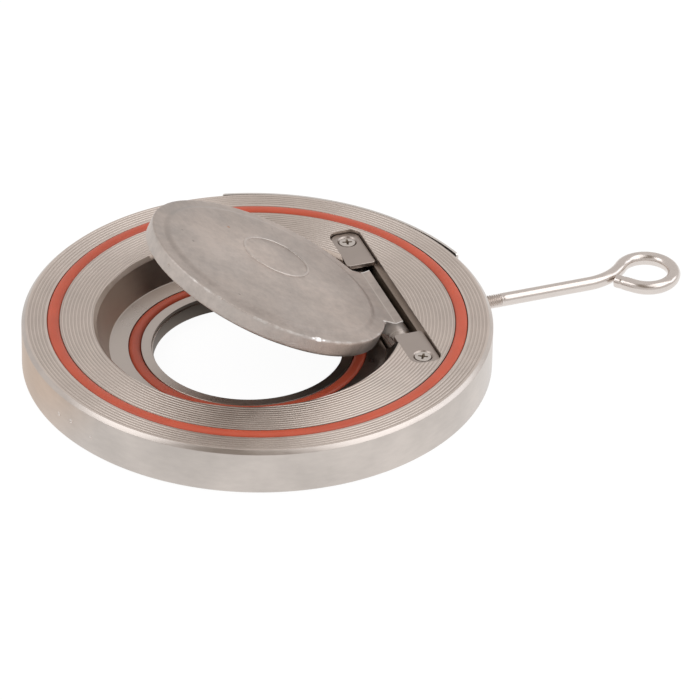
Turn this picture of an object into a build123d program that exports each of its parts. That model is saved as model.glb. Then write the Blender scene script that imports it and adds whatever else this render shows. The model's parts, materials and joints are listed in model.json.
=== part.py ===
"""Wafer check valve, DN 100: a thin ring clamped between two flanges, with one swinging disc.

Frame: millimetres, origin on the rim's axis at mid-thickness. +Z points downstream, to the face that
the disc opens through. +X points at the hinge and the eye bolt, and the hinge axis runs along Y.
"""

from build123d import *
from math import acos, asin, cos, degrees, hypot, radians, sin, sqrt
import os

# ---- body ring ---------------------------------------------------------------------------------------
body_d = 164.0
body_thickness = 17.0
outlet_chamfer = 1.3
inlet_chamfer = 0.7

# ---- bore and disc recess, both off centre, away from the hinge --------------------------------------
flow_offset = 3.5
throat_d = 66.0
bore_lead_step = 0.5
bore_lead_depth = 1.4
recess_floor_d = 96.6
recess_taper = 4.2
recess_depth = 10.6
recess_chamfer = 1.3

# ---- flange O-rings, one in each face ----------------------------------------------------------------
flange_groove_mid_d = 141.9
flange_groove_width = 4.35
flange_groove_depth = 3.4
flange_ring_proud = 0.6

# ---- seat O-ring -------------------------------------------------------------------------------------
seat_groove_mid_d = 78.75
seat_groove_width = 4.35
seat_groove_depth = 3.4
seat_ring_proud = 0.7

ring_side_clearance = 0.05
ring_shoulder_drop = 0.45

# ---- disc --------------------------------------------------------------------------------------------
disc_side_clearance = 3.8
disc_rim_thickness = 5.75
plateau_margin = 5.5
plateau_rise = 0.9
seal_overlap = 1.4
seal_cone_height = 1.62
seal_gap = 0.15
medallion_d = 25.2
medallion_bead = 0.9
medallion_rise = 0.35
medallion_offset = 6.4
medallion_y = 10.5
rest_opening = 26.0

# ---- hinge: tongue, lip and trunnions on the disc, slot in the body ----------------------------------
hinge_x = 46.5
tongue_half_width = 17.5
tongue_root_overlap = 6.0
tongue_thickness = 4.9
tongue_valley_out = 0.8
lip_run = 2.3
lip_height = 1.85
lip_back_lean = 0.2
lip_back_drop = 1.2
trunnion_d = 9.4
trunnion_length = 15.5
trunnion_end_break = 0.5
trunnion_clearance = 0.3
trunnion_end_clearance = 0.8
slot_corner_r = 1.5

# ---- keeper plates and the pocket they lie in --------------------------------------------------------
keeper_thickness = 1.6
keeper_width = 10.6
keeper_length = 20.65
keeper_from_tongue = 5.7
keeper_from_hinge = 0.55
keeper_clearance = 0.35
keeper_inner_corner_r = 0.9
keeper_edge_break = 0.2
pocket_depth = 2.9
pocket_corner_r = 4.0

# ---- keeper screws: M3.5 countersunk -----------------------------------------------------------------
screw_from_end = 5.35
screw_d = 3.5
screw_head_d = 6.3
screw_length = 8.4
screw_head_sink = 0.1
countersink_gap = 0.3
cross_length = 3.4
cross_width = 0.7
cross_depth = 1.0
thread_clearance = 0.05
blind_hole_run_out = 0.6

# ---- eye bolt, bent from round bar -------------------------------------------------------------------
bar_d = 4.8
eye_thread_d = 4.9
eye_thread_out = 9.5
eye_thread_in = 7.6
eye_hole_run_out = 0.3
eye_bolt_height = 5.8
eye_reach = 64.4
eye_mid_r = 9.75
crank_r = 20.0
eye_close_angle = 137.0
eye_tail = 7.5
eye_end_break = 0.4

# ---- data plate and its rivets -----------------------------------------------------------------------
plate_mid_angle = 46.0
plate_sweep = 65.0
plate_bend_gain = 4.0
plate_sheet = 0.6
plate_height = 13.2
plate_below_face = 0.8
plate_seat_gap = 0.1
rivet_half_angle = 21.0
rivet_d = 2.0
rivet_head_d = 3.8
rivet_head_height = 1.0
rivet_length = 5.0

# ---- levels and places worked out from the sizes above -----------------------------------------------
body_r = body_d / 2
outlet_z = body_thickness / 2
inlet_z = -body_thickness / 2
land_z = outlet_z - recess_depth
ledge_z = outlet_z - pocket_depth
throat_r = throat_d / 2
recess_floor_r = recess_floor_d / 2
recess_mouth_r = recess_floor_r + recess_taper
flow_axis = Axis((-flow_offset, 0, 0), (0, 0, 1))

# The hinge axis lies at z = 0, at mid-thickness, and the slot clears the trunnions all round.
trunnion_r = trunnion_d / 2
trunnion_reach = tongue_half_width + trunnion_length
slot_half_width = trunnion_r + trunnion_clearance
slot_half_length = trunnion_reach + trunnion_end_clearance

# Sizes of the disc, and its heights above the hinge axis when closed.
disc_r = recess_floor_r - disc_side_clearance
seal_face_r = seat_groove_mid_d / 2 + seal_overlap
disc_centre_x = -(hinge_x + flow_offset)
seal_face_z = land_z + seat_ring_proud + seal_gap
disc_under_z = seal_face_z + seal_cone_height
disc_edge_z = disc_under_z + disc_rim_thickness
plateau_z = disc_edge_z + plateau_rise

keeper_mid_x = hinge_x + keeper_from_hinge
keeper_inner_y = tongue_half_width + keeper_from_tongue
keeper_outer_y = keeper_inner_y + keeper_length
keeper_top_z = ledge_z + keeper_thickness
pocket_width = keeper_width + 2 * keeper_clearance
pocket_length = 2 * (keeper_outer_y + keeper_clearance)
screw_y = keeper_outer_y - screw_from_end
screw_places = ((keeper_mid_x, -screw_y), (keeper_mid_x, screw_y))
screw_head_z = keeper_top_z - screw_head_sink

eye_z = inlet_z + eye_bolt_height
eye_centre_x = body_r + eye_reach
eye_thread_end_x = body_r + eye_thread_out
crank_turn = acos(crank_r / (crank_r + eye_mid_r))
crank_start_x = eye_centre_x - (crank_r + eye_mid_r) * sin(crank_turn)

# The sheet is bent a little wider than the rim, so its ends stand off.
plate_inner_r = body_r + plate_bend_gain
plate_outer_r = plate_inner_r + plate_sheet
plate_shift = plate_bend_gain - plate_seat_gap
plate_centre_x = -plate_shift * cos(radians(plate_mid_angle))
plate_centre_y = -plate_shift * sin(radians(plate_mid_angle))
plate_bottom_z = outlet_z - plate_below_face - plate_height


def disc_plane(height):
    """The plane across the disc at a height above the hinge axis, turned to the rest opening."""
    turn = radians(rest_opening)
    hinge = Plane(origin=(hinge_x, 0, 0), x_dir=(cos(turn), 0, -sin(turn)), z_dir=(sin(turn), 0, cos(turn)))
    return hinge.offset(height)


def disc_section():
    """The upright plane through the disc's middle: x towards the hinge, y through its thickness."""
    turn = radians(rest_opening)
    return Plane(origin=(hinge_x, 0, 0), x_dir=(cos(turn), 0, -sin(turn)), z_dir=(0, -1, 0))


def rivet_plane(side):
    """The outer surface of the data plate at one rivet, z pointing away from the rim."""
    turn = radians(plate_mid_angle + side * rivet_half_angle)
    spot_x = plate_centre_x + plate_outer_r * cos(turn)
    spot_y = plate_centre_y + plate_outer_r * sin(turn)
    spot_z = plate_bottom_z + plate_height / 2
    return Plane(origin=(spot_x, spot_y, spot_z), x_dir=(0, 0, 1), z_dir=(cos(turn), sin(turn), 0))


def finish(piece, name):
    """Label a finished piece and write it to its own STEP file."""
    piece.part.label = name
    export_step(piece.part, f"parts/{name}.step")


def make_body():
    """The ring: grooves, off-centre bore and recess, hinge pocket and slot, and every drilled hole."""
    with BuildPart() as body:
        with BuildSketch(Plane.XY.offset(inlet_z)):
            Circle(body_r)
        extrude(amount=body_thickness)
        chamfer(body.edges().group_by(Axis.Z)[-1], outlet_chamfer)
        chamfer(body.edges().group_by(Axis.Z)[0], inlet_chamfer)

        # Throat, lead-in step, seat land and the tapered recess wall, turned about the flow axis.
        with BuildSketch(Plane.XZ):
            with Locations((-flow_offset, 0)):
                Polygon(
                    (0, inlet_z),
                    (throat_r, inlet_z),
                    (throat_r, land_z - bore_lead_depth),
                    (throat_r + bore_lead_step, land_z - bore_lead_depth),
                    (throat_r + bore_lead_step, land_z),
                    (recess_floor_r, land_z),
                    (recess_mouth_r, outlet_z - recess_chamfer),
                    (recess_mouth_r + recess_chamfer, outlet_z),
                    (0, outlet_z),
                    align=None,
                )
        revolve(axis=flow_axis, mode=Mode.SUBTRACT)

        with BuildSketch(Plane.XY.offset(outlet_z), Plane.XY.offset(inlet_z + flange_groove_depth)):
            Circle((flange_groove_mid_d + flange_groove_width) / 2)
            Circle((flange_groove_mid_d - flange_groove_width) / 2, mode=Mode.SUBTRACT)
        extrude(amount=-flange_groove_depth, mode=Mode.SUBTRACT)

        with BuildSketch(Plane.XY.offset(land_z)):
            with Locations((-flow_offset, 0)):
                Circle((seat_groove_mid_d + seat_groove_width) / 2)
                Circle((seat_groove_mid_d - seat_groove_width) / 2, mode=Mode.SUBTRACT)
        extrude(amount=-seat_groove_depth, mode=Mode.SUBTRACT)

        with BuildSketch(Plane.XY.offset(outlet_z)):
            with Locations((keeper_mid_x, 0)):
                RectangleRounded(pocket_width, pocket_length, pocket_corner_r)
        extrude(amount=-pocket_depth, mode=Mode.SUBTRACT)

        with BuildSketch(Plane.XY.offset(outlet_z)):
            with Locations((hinge_x, 0)):
                RectangleRounded(2 * slot_half_width, 2 * slot_half_length, slot_corner_r)
        extrude(amount=-(outlet_z + slot_half_width), mode=Mode.SUBTRACT)

        with BuildSketch(Plane.XY.offset(screw_head_z)):
            with Locations(screw_places):
                Circle(screw_d / 2 + thread_clearance)
        extrude(amount=-(screw_length + blind_hole_run_out), mode=Mode.SUBTRACT)

        with BuildSketch(Plane.YZ.offset(body_r)):
            with Locations((0, eye_z)):
                Circle(eye_thread_d / 2 + thread_clearance)
        extrude(amount=-(eye_thread_in + eye_hole_run_out), mode=Mode.SUBTRACT)

        with BuildSketch(rivet_plane(-1), rivet_plane(1)):
            Circle(rivet_d / 2 + thread_clearance)
        extrude(amount=-(plate_sheet + rivet_length + blind_hole_run_out), mode=Mode.SUBTRACT)
    finish(body, "body")


def make_o_ring(name, centre_x, mid_d, groove_width, groove_depth, proud, mouth_z, outward):
    """An O-ring squeezed into its groove: flat against the walls, domed where it stands proud.

    outward is 1 for a groove that opens towards +Z and -1 for one that opens towards -Z.
    """
    middle = centre_x + mid_d / 2
    half = groove_width / 2 - ring_side_clearance
    floor_z = mouth_z - outward * groove_depth
    shoulder_z = mouth_z - outward * ring_shoulder_drop
    crest_z = mouth_z + outward * proud
    with BuildPart() as ring:
        with BuildSketch(Plane.XZ):
            with BuildLine():
                Polyline(
                    (middle - half, shoulder_z),
                    (middle - half, floor_z),
                    (middle + half, floor_z),
                    (middle + half, shoulder_z),
                )
                ThreePointArc((middle + half, shoulder_z), (middle, crest_z), (middle - half, shoulder_z))
            make_face()
        revolve(axis=Axis((centre_x, 0, 0), (0, 0, 1)))
    finish(ring, name)


def make_disc():
    """The cast disc with its hinge tongue, lip and trunnions, drawn closed and set at its rest opening."""
    tongue_root_x = disc_centre_x + sqrt(disc_r**2 - tongue_half_width**2) - tongue_root_overlap
    tongue_under_z = disc_edge_z - tongue_thickness
    valley_x = disc_centre_x + disc_r + tongue_valley_out
    lip = (valley_x + lip_run, disc_edge_z + lip_height)
    heel = (lip[0] - lip_back_lean, lip[1] - lip_back_drop)

    # The back of the tongue runs from the heel to where it touches the trunnion's round.
    back_angle = asin(heel[0] / hypot(*heel)) + acos(trunnion_r / hypot(*heel))
    back_foot = (trunnion_r * sin(back_angle), trunnion_r * cos(back_angle))

    with BuildPart() as disc:
        with BuildSketch(disc_section()):
            with Locations((disc_centre_x, 0)):
                Polygon(
                    (0, seal_face_z),
                    (seal_face_r, seal_face_z),
                    (disc_r, disc_under_z),
                    (disc_r, disc_edge_z),
                    (disc_r - plateau_margin, plateau_z),
                    (0, plateau_z),
                    align=None,
                )
        flow_middle = disc_plane(0).from_local_coords((disc_centre_x, 0, 0))
        revolve(axis=Axis(flow_middle, disc_plane(0).z_dir))

        with BuildSketch(disc_section()):
            Polygon(
                (tongue_root_x, tongue_under_z),
                (0, tongue_under_z),
                back_foot,
                heel,
                lip,
                (valley_x, disc_edge_z),
                (tongue_root_x, disc_edge_z),
                align=None,
            )
        extrude(amount=tongue_half_width, both=True)

        with BuildSketch(disc_section()):
            Circle(trunnion_r)
        extrude(amount=trunnion_reach, both=True)
        chamfer(disc.faces().sort_by(Axis.Y)[0].edges(), trunnion_end_break)
        chamfer(disc.faces().sort_by(Axis.Y)[-1].edges(), trunnion_end_break)

        with BuildSketch(disc_plane(plateau_z)):
            with Locations((disc_centre_x + medallion_offset, medallion_y)):
                Circle(medallion_d / 2)
                Circle(medallion_d / 2 - medallion_bead, mode=Mode.SUBTRACT)
        extrude(amount=medallion_rise)
    finish(disc, "disc")


def make_keeper(name, side):
    """A keeper plate that holds one trunnion down. side is 1 for +Y and -1 for -Y."""
    with BuildPart() as keeper:
        with BuildSketch(Plane.XY.offset(ledge_z)) as outline:
            with Locations((keeper_mid_x, side * (keeper_inner_y + keeper_outer_y) / 2)):
                Rectangle(keeper_width, keeper_length)
            ends = outline.vertices().sort_by(Axis.Y, reverse=side < 0)
            fillet(ends[2:], pocket_corner_r - keeper_clearance)
            ends = outline.vertices().sort_by(Axis.Y, reverse=side < 0)
            fillet(ends[:2], keeper_inner_corner_r)
        extrude(amount=keeper_thickness)
        chamfer(keeper.edges().group_by(Axis.Z)[-1], keeper_edge_break)
        with Locations((keeper_mid_x, side * screw_y, keeper_top_z)):
            CounterSinkHole(screw_d / 2 + thread_clearance, screw_head_d / 2 + countersink_gap)
    finish(keeper, name)


def make_keeper_screws():
    """The two countersunk cross-recess screws, one through each keeper plate."""
    with BuildPart() as screws:
        with BuildSketch(Plane.XY.offset(screw_head_z)):
            with Locations(screw_places):
                Circle(screw_d / 2)
        extrude(amount=-screw_length)
        with BuildSketch(Plane.XY.offset(screw_head_z)):
            with Locations(screw_places):
                Circle(screw_head_d / 2)
        extrude(amount=-(screw_head_d - screw_d) / 2, taper=45)
        with BuildSketch(Plane.XY.offset(screw_head_z)):
            with Locations(screw_places):
                Rectangle(cross_length, cross_width)
                Rectangle(cross_width, cross_length)
        extrude(amount=-cross_depth, mode=Mode.SUBTRACT)
    finish(screws, "keeper_screws")


def make_eye_bolt():
    """The eye bolt: threaded end, straight shank, crank to one side and an eye closed on the crank."""
    with BuildPart() as eye_bolt:
        with BuildLine(Plane.XY.offset(eye_z)):
            shank = Line((eye_thread_end_x, 0), (crank_start_x, 0))
            crank = JernArc(shank @ 1, shank % 1, crank_r, degrees(crank_turn))
            loop = JernArc(crank @ 1, crank % 1, eye_mid_r, -(90 + degrees(crank_turn) + eye_close_angle))
            PolarLine(loop @ 1, eye_tail, direction=loop % 1)
        with BuildSketch(Plane.YZ.offset(eye_thread_end_x)):
            with Locations((0, eye_z)):
                Circle(bar_d / 2)
        sweep()
        tail_end = eye_bolt.faces().filter_by(GeomType.PLANE).sort_by(Axis.X)[-1]
        chamfer(tail_end.edges(), eye_end_break)

        with BuildSketch(Plane.YZ.offset(eye_thread_end_x)):
            with Locations((0, eye_z)):
                Circle(eye_thread_d / 2)
        extrude(amount=-(eye_thread_out + eye_thread_in))
        chamfer(eye_bolt.faces().sort_by(Axis.X)[0].edges(), eye_end_break)
    finish(eye_bolt, "eye_bolt")


def make_data_plate():
    """The blank data plate: sheet bent to an arc, with two rivet holes."""
    start = plate_mid_angle - plate_sweep / 2
    with BuildPart() as plate:
        with BuildSketch(Plane.XY.offset(plate_bottom_z)):
            with BuildLine():
                centre = (plate_centre_x, plate_centre_y)
                inner = CenterArc(centre, plate_inner_r, start, plate_sweep)
                outer = CenterArc(centre, plate_outer_r, start, plate_sweep)
                Line(inner @ 0, outer @ 0)
                Line(inner @ 1, outer @ 1)
            make_face()
        extrude(amount=plate_height)
        with BuildSketch(rivet_plane(-1), rivet_plane(1)):
            Circle(rivet_d / 2 + thread_clearance)
        extrude(amount=2 * plate_sheet, both=True, mode=Mode.SUBTRACT)
    finish(plate, "data_plate")


def make_plate_rivets():
    """The two drive rivets that hold the data plate to the rim."""
    with BuildPart() as rivets:
        with BuildSketch(rivet_plane(-1), rivet_plane(1)):
            Circle(rivet_d / 2)
        extrude(amount=-(plate_sheet + rivet_length))
        with BuildSketch(rivet_plane(-1), rivet_plane(1)):
            Circle(rivet_head_d / 2)
        extrude(amount=rivet_head_height, taper=40)
    finish(rivets, "plate_rivets")


os.makedirs("parts", exist_ok=True)

flange_ring = (0, flange_groove_mid_d, flange_groove_width, flange_groove_depth, flange_ring_proud)
seat_ring = (-flow_offset, seat_groove_mid_d, seat_groove_width, seat_groove_depth, seat_ring_proud)

make_body()
make_o_ring("outlet_flange_o_ring", *flange_ring, mouth_z=outlet_z, outward=1)
make_o_ring("inlet_flange_o_ring", *flange_ring, mouth_z=inlet_z, outward=-1)
make_o_ring("seat_o_ring", *seat_ring, mouth_z=land_z, outward=1)
make_disc()
make_keeper("far_keeper_plate", 1)
make_keeper("near_keeper_plate", -1)
make_keeper_screws()
make_eye_bolt()
make_data_plate()
make_plate_rivets()
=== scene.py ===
"""Looks of the wafer check valve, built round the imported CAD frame.

Every piece is modelled in the row frame, in metres: the origin is on the rim's axis at mid-thickness,
+Z points downstream and +X points at the hinge and the eye bolt.
"""

import json
import logging
import math
from dataclasses import dataclass, field
from enum import Enum
from typing import Any, Sequence

import bmesh
import bpy
from mathutils import Matrix, Vector


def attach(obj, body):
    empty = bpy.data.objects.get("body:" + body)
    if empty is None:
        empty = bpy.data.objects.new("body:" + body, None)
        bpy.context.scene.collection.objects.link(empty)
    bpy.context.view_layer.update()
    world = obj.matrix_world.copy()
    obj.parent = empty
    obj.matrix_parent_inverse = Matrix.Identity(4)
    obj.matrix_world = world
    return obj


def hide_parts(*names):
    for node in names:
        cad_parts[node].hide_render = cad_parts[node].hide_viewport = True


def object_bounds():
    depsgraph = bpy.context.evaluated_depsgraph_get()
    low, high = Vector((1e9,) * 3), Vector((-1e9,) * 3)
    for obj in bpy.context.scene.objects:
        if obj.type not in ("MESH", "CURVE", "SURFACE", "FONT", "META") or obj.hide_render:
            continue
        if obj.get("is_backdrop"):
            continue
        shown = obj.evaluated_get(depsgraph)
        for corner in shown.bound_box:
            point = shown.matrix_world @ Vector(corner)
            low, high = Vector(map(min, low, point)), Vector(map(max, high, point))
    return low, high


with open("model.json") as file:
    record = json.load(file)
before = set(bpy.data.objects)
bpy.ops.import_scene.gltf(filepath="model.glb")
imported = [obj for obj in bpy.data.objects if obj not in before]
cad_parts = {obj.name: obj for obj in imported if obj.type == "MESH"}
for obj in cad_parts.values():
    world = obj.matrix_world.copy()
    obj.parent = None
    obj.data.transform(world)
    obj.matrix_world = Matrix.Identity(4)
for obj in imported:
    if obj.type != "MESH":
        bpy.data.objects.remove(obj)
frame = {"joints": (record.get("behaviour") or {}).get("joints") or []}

MM = 0.001
WELD = 1e-7  # points nearer than this, in metres, are one point
UP = Vector((0, 0, 1))
WHITE = (1, 1, 1, 1)

Profile = list[tuple[float, float]]
Colour = tuple[float, float, float]
Span = tuple[float, float]
Piece = bpy.types.Object
Finish = bpy.types.Material
Socket = bpy.types.NodeSocket
log = logging.getLogger("valve")


# ---- outlines ----
def rounded(corners: Sequence[tuple[float, ...]], closed: bool = True, steps: int = 4) -> Profile:
    """Round the corners of an outline.

    Args:
        corners: (x, y) for a sharp corner, or (x, y, radius) for a rounded one.
        closed: whether the last corner joins the first.
        steps: number of flats on each rounded corner.

    Returns:
        The outline's points in order.
    """
    points: Profile = []
    count = len(corners)
    for index, corner in enumerate(corners):
        here = Vector(corner[:2])
        is_end = not closed and index in (0, count - 1)
        if len(corner) < 3 or is_end:
            points.append((here.x, here.y))
            continue
        before = (Vector(corners[index - 1][:2]) - here).normalized()
        after = (Vector(corners[(index + 1) % count][:2]) - here).normalized()
        half = before.angle(after) / 2
        centre = here + (before + after).normalized() * corner[2] / math.sin(half)
        start = here + before * corner[2] / math.tan(half) - centre
        turn = start.angle_signed(here + after * corner[2] / math.tan(half) - centre)
        for step in range(steps + 1):
            spoke = start.copy()
            spoke.rotate(Matrix.Rotation(-turn * step / steps, 2))
            points.append((centre.x + spoke.x, centre.y + spoke.y))
    return points


def oblong(half: Span, radii: Sequence[float], grow: float = 0.0, steps: int = 8) -> Profile:
    """A rectangle with rounded corners, centred on the origin.

    Args:
        half: half its width and half its length.
        radii: corner radii, from the (-x, -y) corner anticlockwise.
        grow: how far the whole outline moves outwards.
        steps: flats on each corner.

    Returns:
        The outline's points in order.
    """
    least = 0.02 * MM
    signs = ((-1, -1), (1, -1), (1, 1), (-1, 1))
    corners = [
        (across * (half[0] + grow), along * (half[1] + grow), max(radius + grow, least))
        for (across, along), radius in zip(signs, radii)
    ]
    return rounded(corners, steps=steps)


def ring_of(radius: float, flats: int = 48) -> Profile:
    """A circle's points about the origin."""
    turns = [math.tau * step / flats for step in range(flats)]
    return [(radius * math.cos(turn), radius * math.sin(turn)) for turn in turns]


def polar(out: float, degrees: float, height: float = 0.0) -> Vector:
    """The point at a distance and a bearing from the upright axis; bearing 0 is +X."""
    turn = math.radians(degrees)
    return Vector((out * math.cos(turn), out * math.sin(turn), height))


# ---- meshes ----
def new_object(name: str, data: bpy.types.ID) -> Piece:
    """Put a mesh, a lamp or a camera into the scene.

    Args:
        name: the object's name.
        data: what it holds.

    Returns:
        The new object, at the origin.
    """
    item = bpy.data.objects.new(name, data)
    bpy.context.scene.collection.objects.link(item)
    return item


def polyline(name: str, points: Sequence[Sequence[float]]) -> Piece:
    """An open line of points and edges, for a recipe to work along.

    Args:
        name: the object's name.
        points: its points in order.

    Returns:
        The new object.
    """
    mesh = bpy.data.meshes.new(name)
    mesh.from_pydata(points, [(index, index + 1) for index in range(len(points) - 1)], [])
    return new_object(name, mesh)


def write_attribute(
    mesh: bpy.types.Mesh, name: str, values: Sequence[float], kind: str = "FLOAT", domain: str = "POINT"
) -> None:
    """Store values on a mesh, for a recipe or a material to read; vectors lie flat, part after part."""
    made = mesh.attributes.new(name, kind, domain)
    made.data.foreach_set("vector" if kind == "FLOAT_VECTOR" else "value", values)


def seal(bm: bmesh.types.BMesh, mesh: bpy.types.Mesh) -> None:
    """Weld a closed bmesh, turn its faces outwards and write it to a mesh.

    Args:
        bm: the bmesh, which is freed.
        mesh: the mesh that takes it.
    """
    bmesh.ops.remove_doubles(bm, verts=bm.verts, dist=WELD)
    bmesh.ops.recalc_face_normals(bm, faces=bm.faces)
    bm.to_mesh(mesh)
    bm.free()


def from_bmesh(name: str, bm: bmesh.types.BMesh) -> Piece:
    """Turn a closed bmesh into an object.

    Args:
        name: the object's name.
        bm: the bmesh, which is freed.

    Returns:
        The new object, with its faces outwards.
    """
    mesh = bpy.data.meshes.new(name)
    seal(bm, mesh)
    return new_object(name, mesh)


def bridge(bm: bmesh.types.BMesh, rings: Sequence[Sequence[bmesh.types.BMVert]]) -> None:
    """Skin rings of points one after another, and cap the first and the last.

    Args:
        bm: the bmesh that holds them.
        rings: rings of as many points each.
    """
    for low, high in zip(rings, rings[1:]):
        for index in range(len(low)):
            after = (index + 1) % len(low)
            bm.faces.new((low[index], low[after], high[after], high[index]))
    bm.faces.new(rings[0])
    bm.faces.new(rings[-1])


def lofted(name: str, levels: Sequence[tuple[float, Profile]], middle: Span = (0.0, 0.0)) -> Piece:
    """A closed solid through outlines that lie one above the other.

    Args:
        name: the object's name.
        levels: (height, outline) pairs, all outlines with as many points.
        middle: where the outlines' origin lies, along X and Y.

    Returns:
        The new object.
    """
    bm = bmesh.new()
    shift = Vector((*middle, 0.0))
    bridge(bm, [[bm.verts.new(Vector((x, y, z)) + shift) for x, y in outline] for z, outline in levels])
    return from_bmesh(name, bm)


def extruded(name: str, outline: Profile, stations: Sequence[float]) -> Piece:
    """A bar along Y.

    Args:
        name: the object's name.
        outline: its section, as X and Z.
        stations: the places along Y, in order, that have a ring of points.

    Returns:
        The new object.
    """
    bar = lofted(name, [(-station, outline) for station in stations])
    bar.data.transform(Matrix.Rotation(math.radians(90), 4, "X"))
    return bar


def rod(name: str, foot: Vector, along: Vector, radii: Sequence[Span], flats: int = 48) -> Piece:
    """A round solid along a straight line.

    Args:
        name: the object's name.
        foot: the centre of its start.
        along: the direction it runs in.
        radii: (distance from the foot, radius) pairs.
        flats: flats round it.

    Returns:
        The new object.
    """
    item = lofted(name, [(run, ring_of(radius, flats)) for run, radius in radii])
    turn = along.to_track_quat("Z", "Y").to_matrix().to_4x4()
    item.data.transform(Matrix.Translation(foot) @ turn)
    return item


def bake(item: Piece) -> None:
    """Replace an object's mesh by what its modifiers make of it.

    Args:
        item: the object, which loses its modifiers and the material slots that no face uses.
    """
    bpy.context.view_layer.update()
    graph = bpy.context.evaluated_depsgraph_get()
    mesh = bpy.data.meshes.new_from_object(item.evaluated_get(graph))
    item.modifiers.clear()
    item.data = mesh
    used = sorted({face.material_index for face in mesh.polygons})
    finishes = [mesh.materials[index] for index in used if index < len(mesh.materials)]
    slots = [used.index(face.material_index) for face in mesh.polygons]
    paint(item, *finishes)
    mesh.polygons.foreach_set("material_index", slots)


def combine(item: Piece, others: Sequence[Piece], operation: str) -> None:
    """Cut other solids out of one, or join them to it, and remove them from the scene.

    Args:
        item: the solid that is changed.
        others: the cutters, or the solids that join it. Their finish stays on the surfaces they leave.
        operation: DIFFERENCE or UNION.
    """
    for other in others:
        modifier = item.modifiers.new(other.name, "BOOLEAN")
        modifier.object = other
        modifier.operation = operation
        modifier.solver = "MANIFOLD"
        modifier.material_mode = "TRANSFER"
    bake(item)
    for other in others:
        bpy.data.objects.remove(other)


def shade(item: Piece, sharp_degrees: float = 28.0) -> None:
    """Shade an object smooth, with a crease wherever its faces turn by more than an angle."""
    item.data.shade_smooth()
    item.data.set_sharp_from_angle(angle=math.radians(sharp_degrees))


def paint(item: Piece, *materials: Finish) -> Piece:
    """Give an object its materials.

    Args:
        item: the object.
        materials: its materials in order. Faces that are new take the first.

    Returns:
        The same object.
    """
    item.data.materials.clear()
    for material in materials:
        item.data.materials.append(material)
    return item


def split_lay(item: Piece, level: Finish, upright: Finish) -> Piece:
    """Give the level faces of a turned solid one finish and its walls another.

    Args:
        item: the solid.
        level: the finish of its level faces.
        upright: the finish of all the others.

    Returns:
        The same object.
    """
    level_cosine = 0.9
    paint(item, upright, level)
    for face in item.data.polygons:
        face.material_index = int(abs(face.normal.z) > level_cosine)
    return item


@dataclass(frozen=True)
class Knock:
    """A dent that a small ball leaves. Its lengths are in millimetres."""

    bearing: float
    out: float
    height: float
    radius: float
    is_bright: bool = True

    def ball(self, axis_x: float = 0.0) -> Piece:
        """The ball, at a bearing and a distance from an upright axis.

        Args:
            axis_x: where that axis stands.

        Returns:
            The new object.
        """
        place = polar(self.out * MM, self.bearing, self.height * MM)
        place.x += axis_x
        bm = bmesh.new()
        matrix = Matrix.Translation(place)
        bmesh.ops.create_icosphere(bm, subdivisions=3, radius=self.radius * MM, matrix=matrix)
        return from_bmesh("knock", bm)


# ---- node wiring ----
class Wiring:
    """Adds nodes to a tree and joins them, one call for each node."""

    def __init__(self, tree: bpy.types.NodeTree) -> None:
        """Start on an existing tree."""
        self.tree = tree

    def feed(self, socket: Socket, value: Any) -> None:
        """Give a socket its input.

        Args:
            socket: the input socket.
            value: another node's output, which is linked, or a plain value.
        """
        if isinstance(value, Socket):
            self.tree.links.new(value, socket)
        else:
            socket.default_value = value

    def node(self, kind: str, feeds: dict[Any, Any] | None = None, **settings: Any) -> bpy.types.Node:
        """Add one node.

        Args:
            kind: Blender's name of the node type.
            feeds: input socket name or number to a value or to another node's output.
            settings: the node's own properties.

        Returns:
            The new node.
        """
        made = self.tree.nodes.new(kind)
        for key, value in settings.items():
            setattr(made, key, value)
        for key, value in (feeds or {}).items():
            self.feed(made.inputs[key], value)
        return made

    def math(self, operation: str, first: Any, second: Any = 0.0, third: Any = 0.0) -> Socket:
        """One Math node's result."""
        return self.node("ShaderNodeMath", {0: first, 1: second, 2: third}, operation=operation).outputs[0]

    def scaled(self, vector: Any, by: Any) -> Socket:
        """A vector or a colour times a number."""
        return self.node("ShaderNodeVectorMath", {0: vector, 3: by}, operation="SCALE").outputs[0]

    def measured(self, operation: str, *vectors: Any) -> Socket:
        """A vector's LENGTH, or the DISTANCE or DOT_PRODUCT of two."""
        feeds = dict(enumerate(vectors))
        return self.node("ShaderNodeVectorMath", feeds, operation=operation).outputs["Value"]

    def parts(self, vector: Any) -> bpy.types.bpy_prop_collection:
        """A vector's X, Y and Z, by name."""
        return self.node("ShaderNodeSeparateXYZ", {0: vector}).outputs

    def blend(self, factor: Any, first: Any, second: Any) -> Socket:
        """Mix two colours."""
        return self.node("ShaderNodeMix", {0: factor, 6: first, 7: second}, data_type="RGBA").outputs[2]


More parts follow.
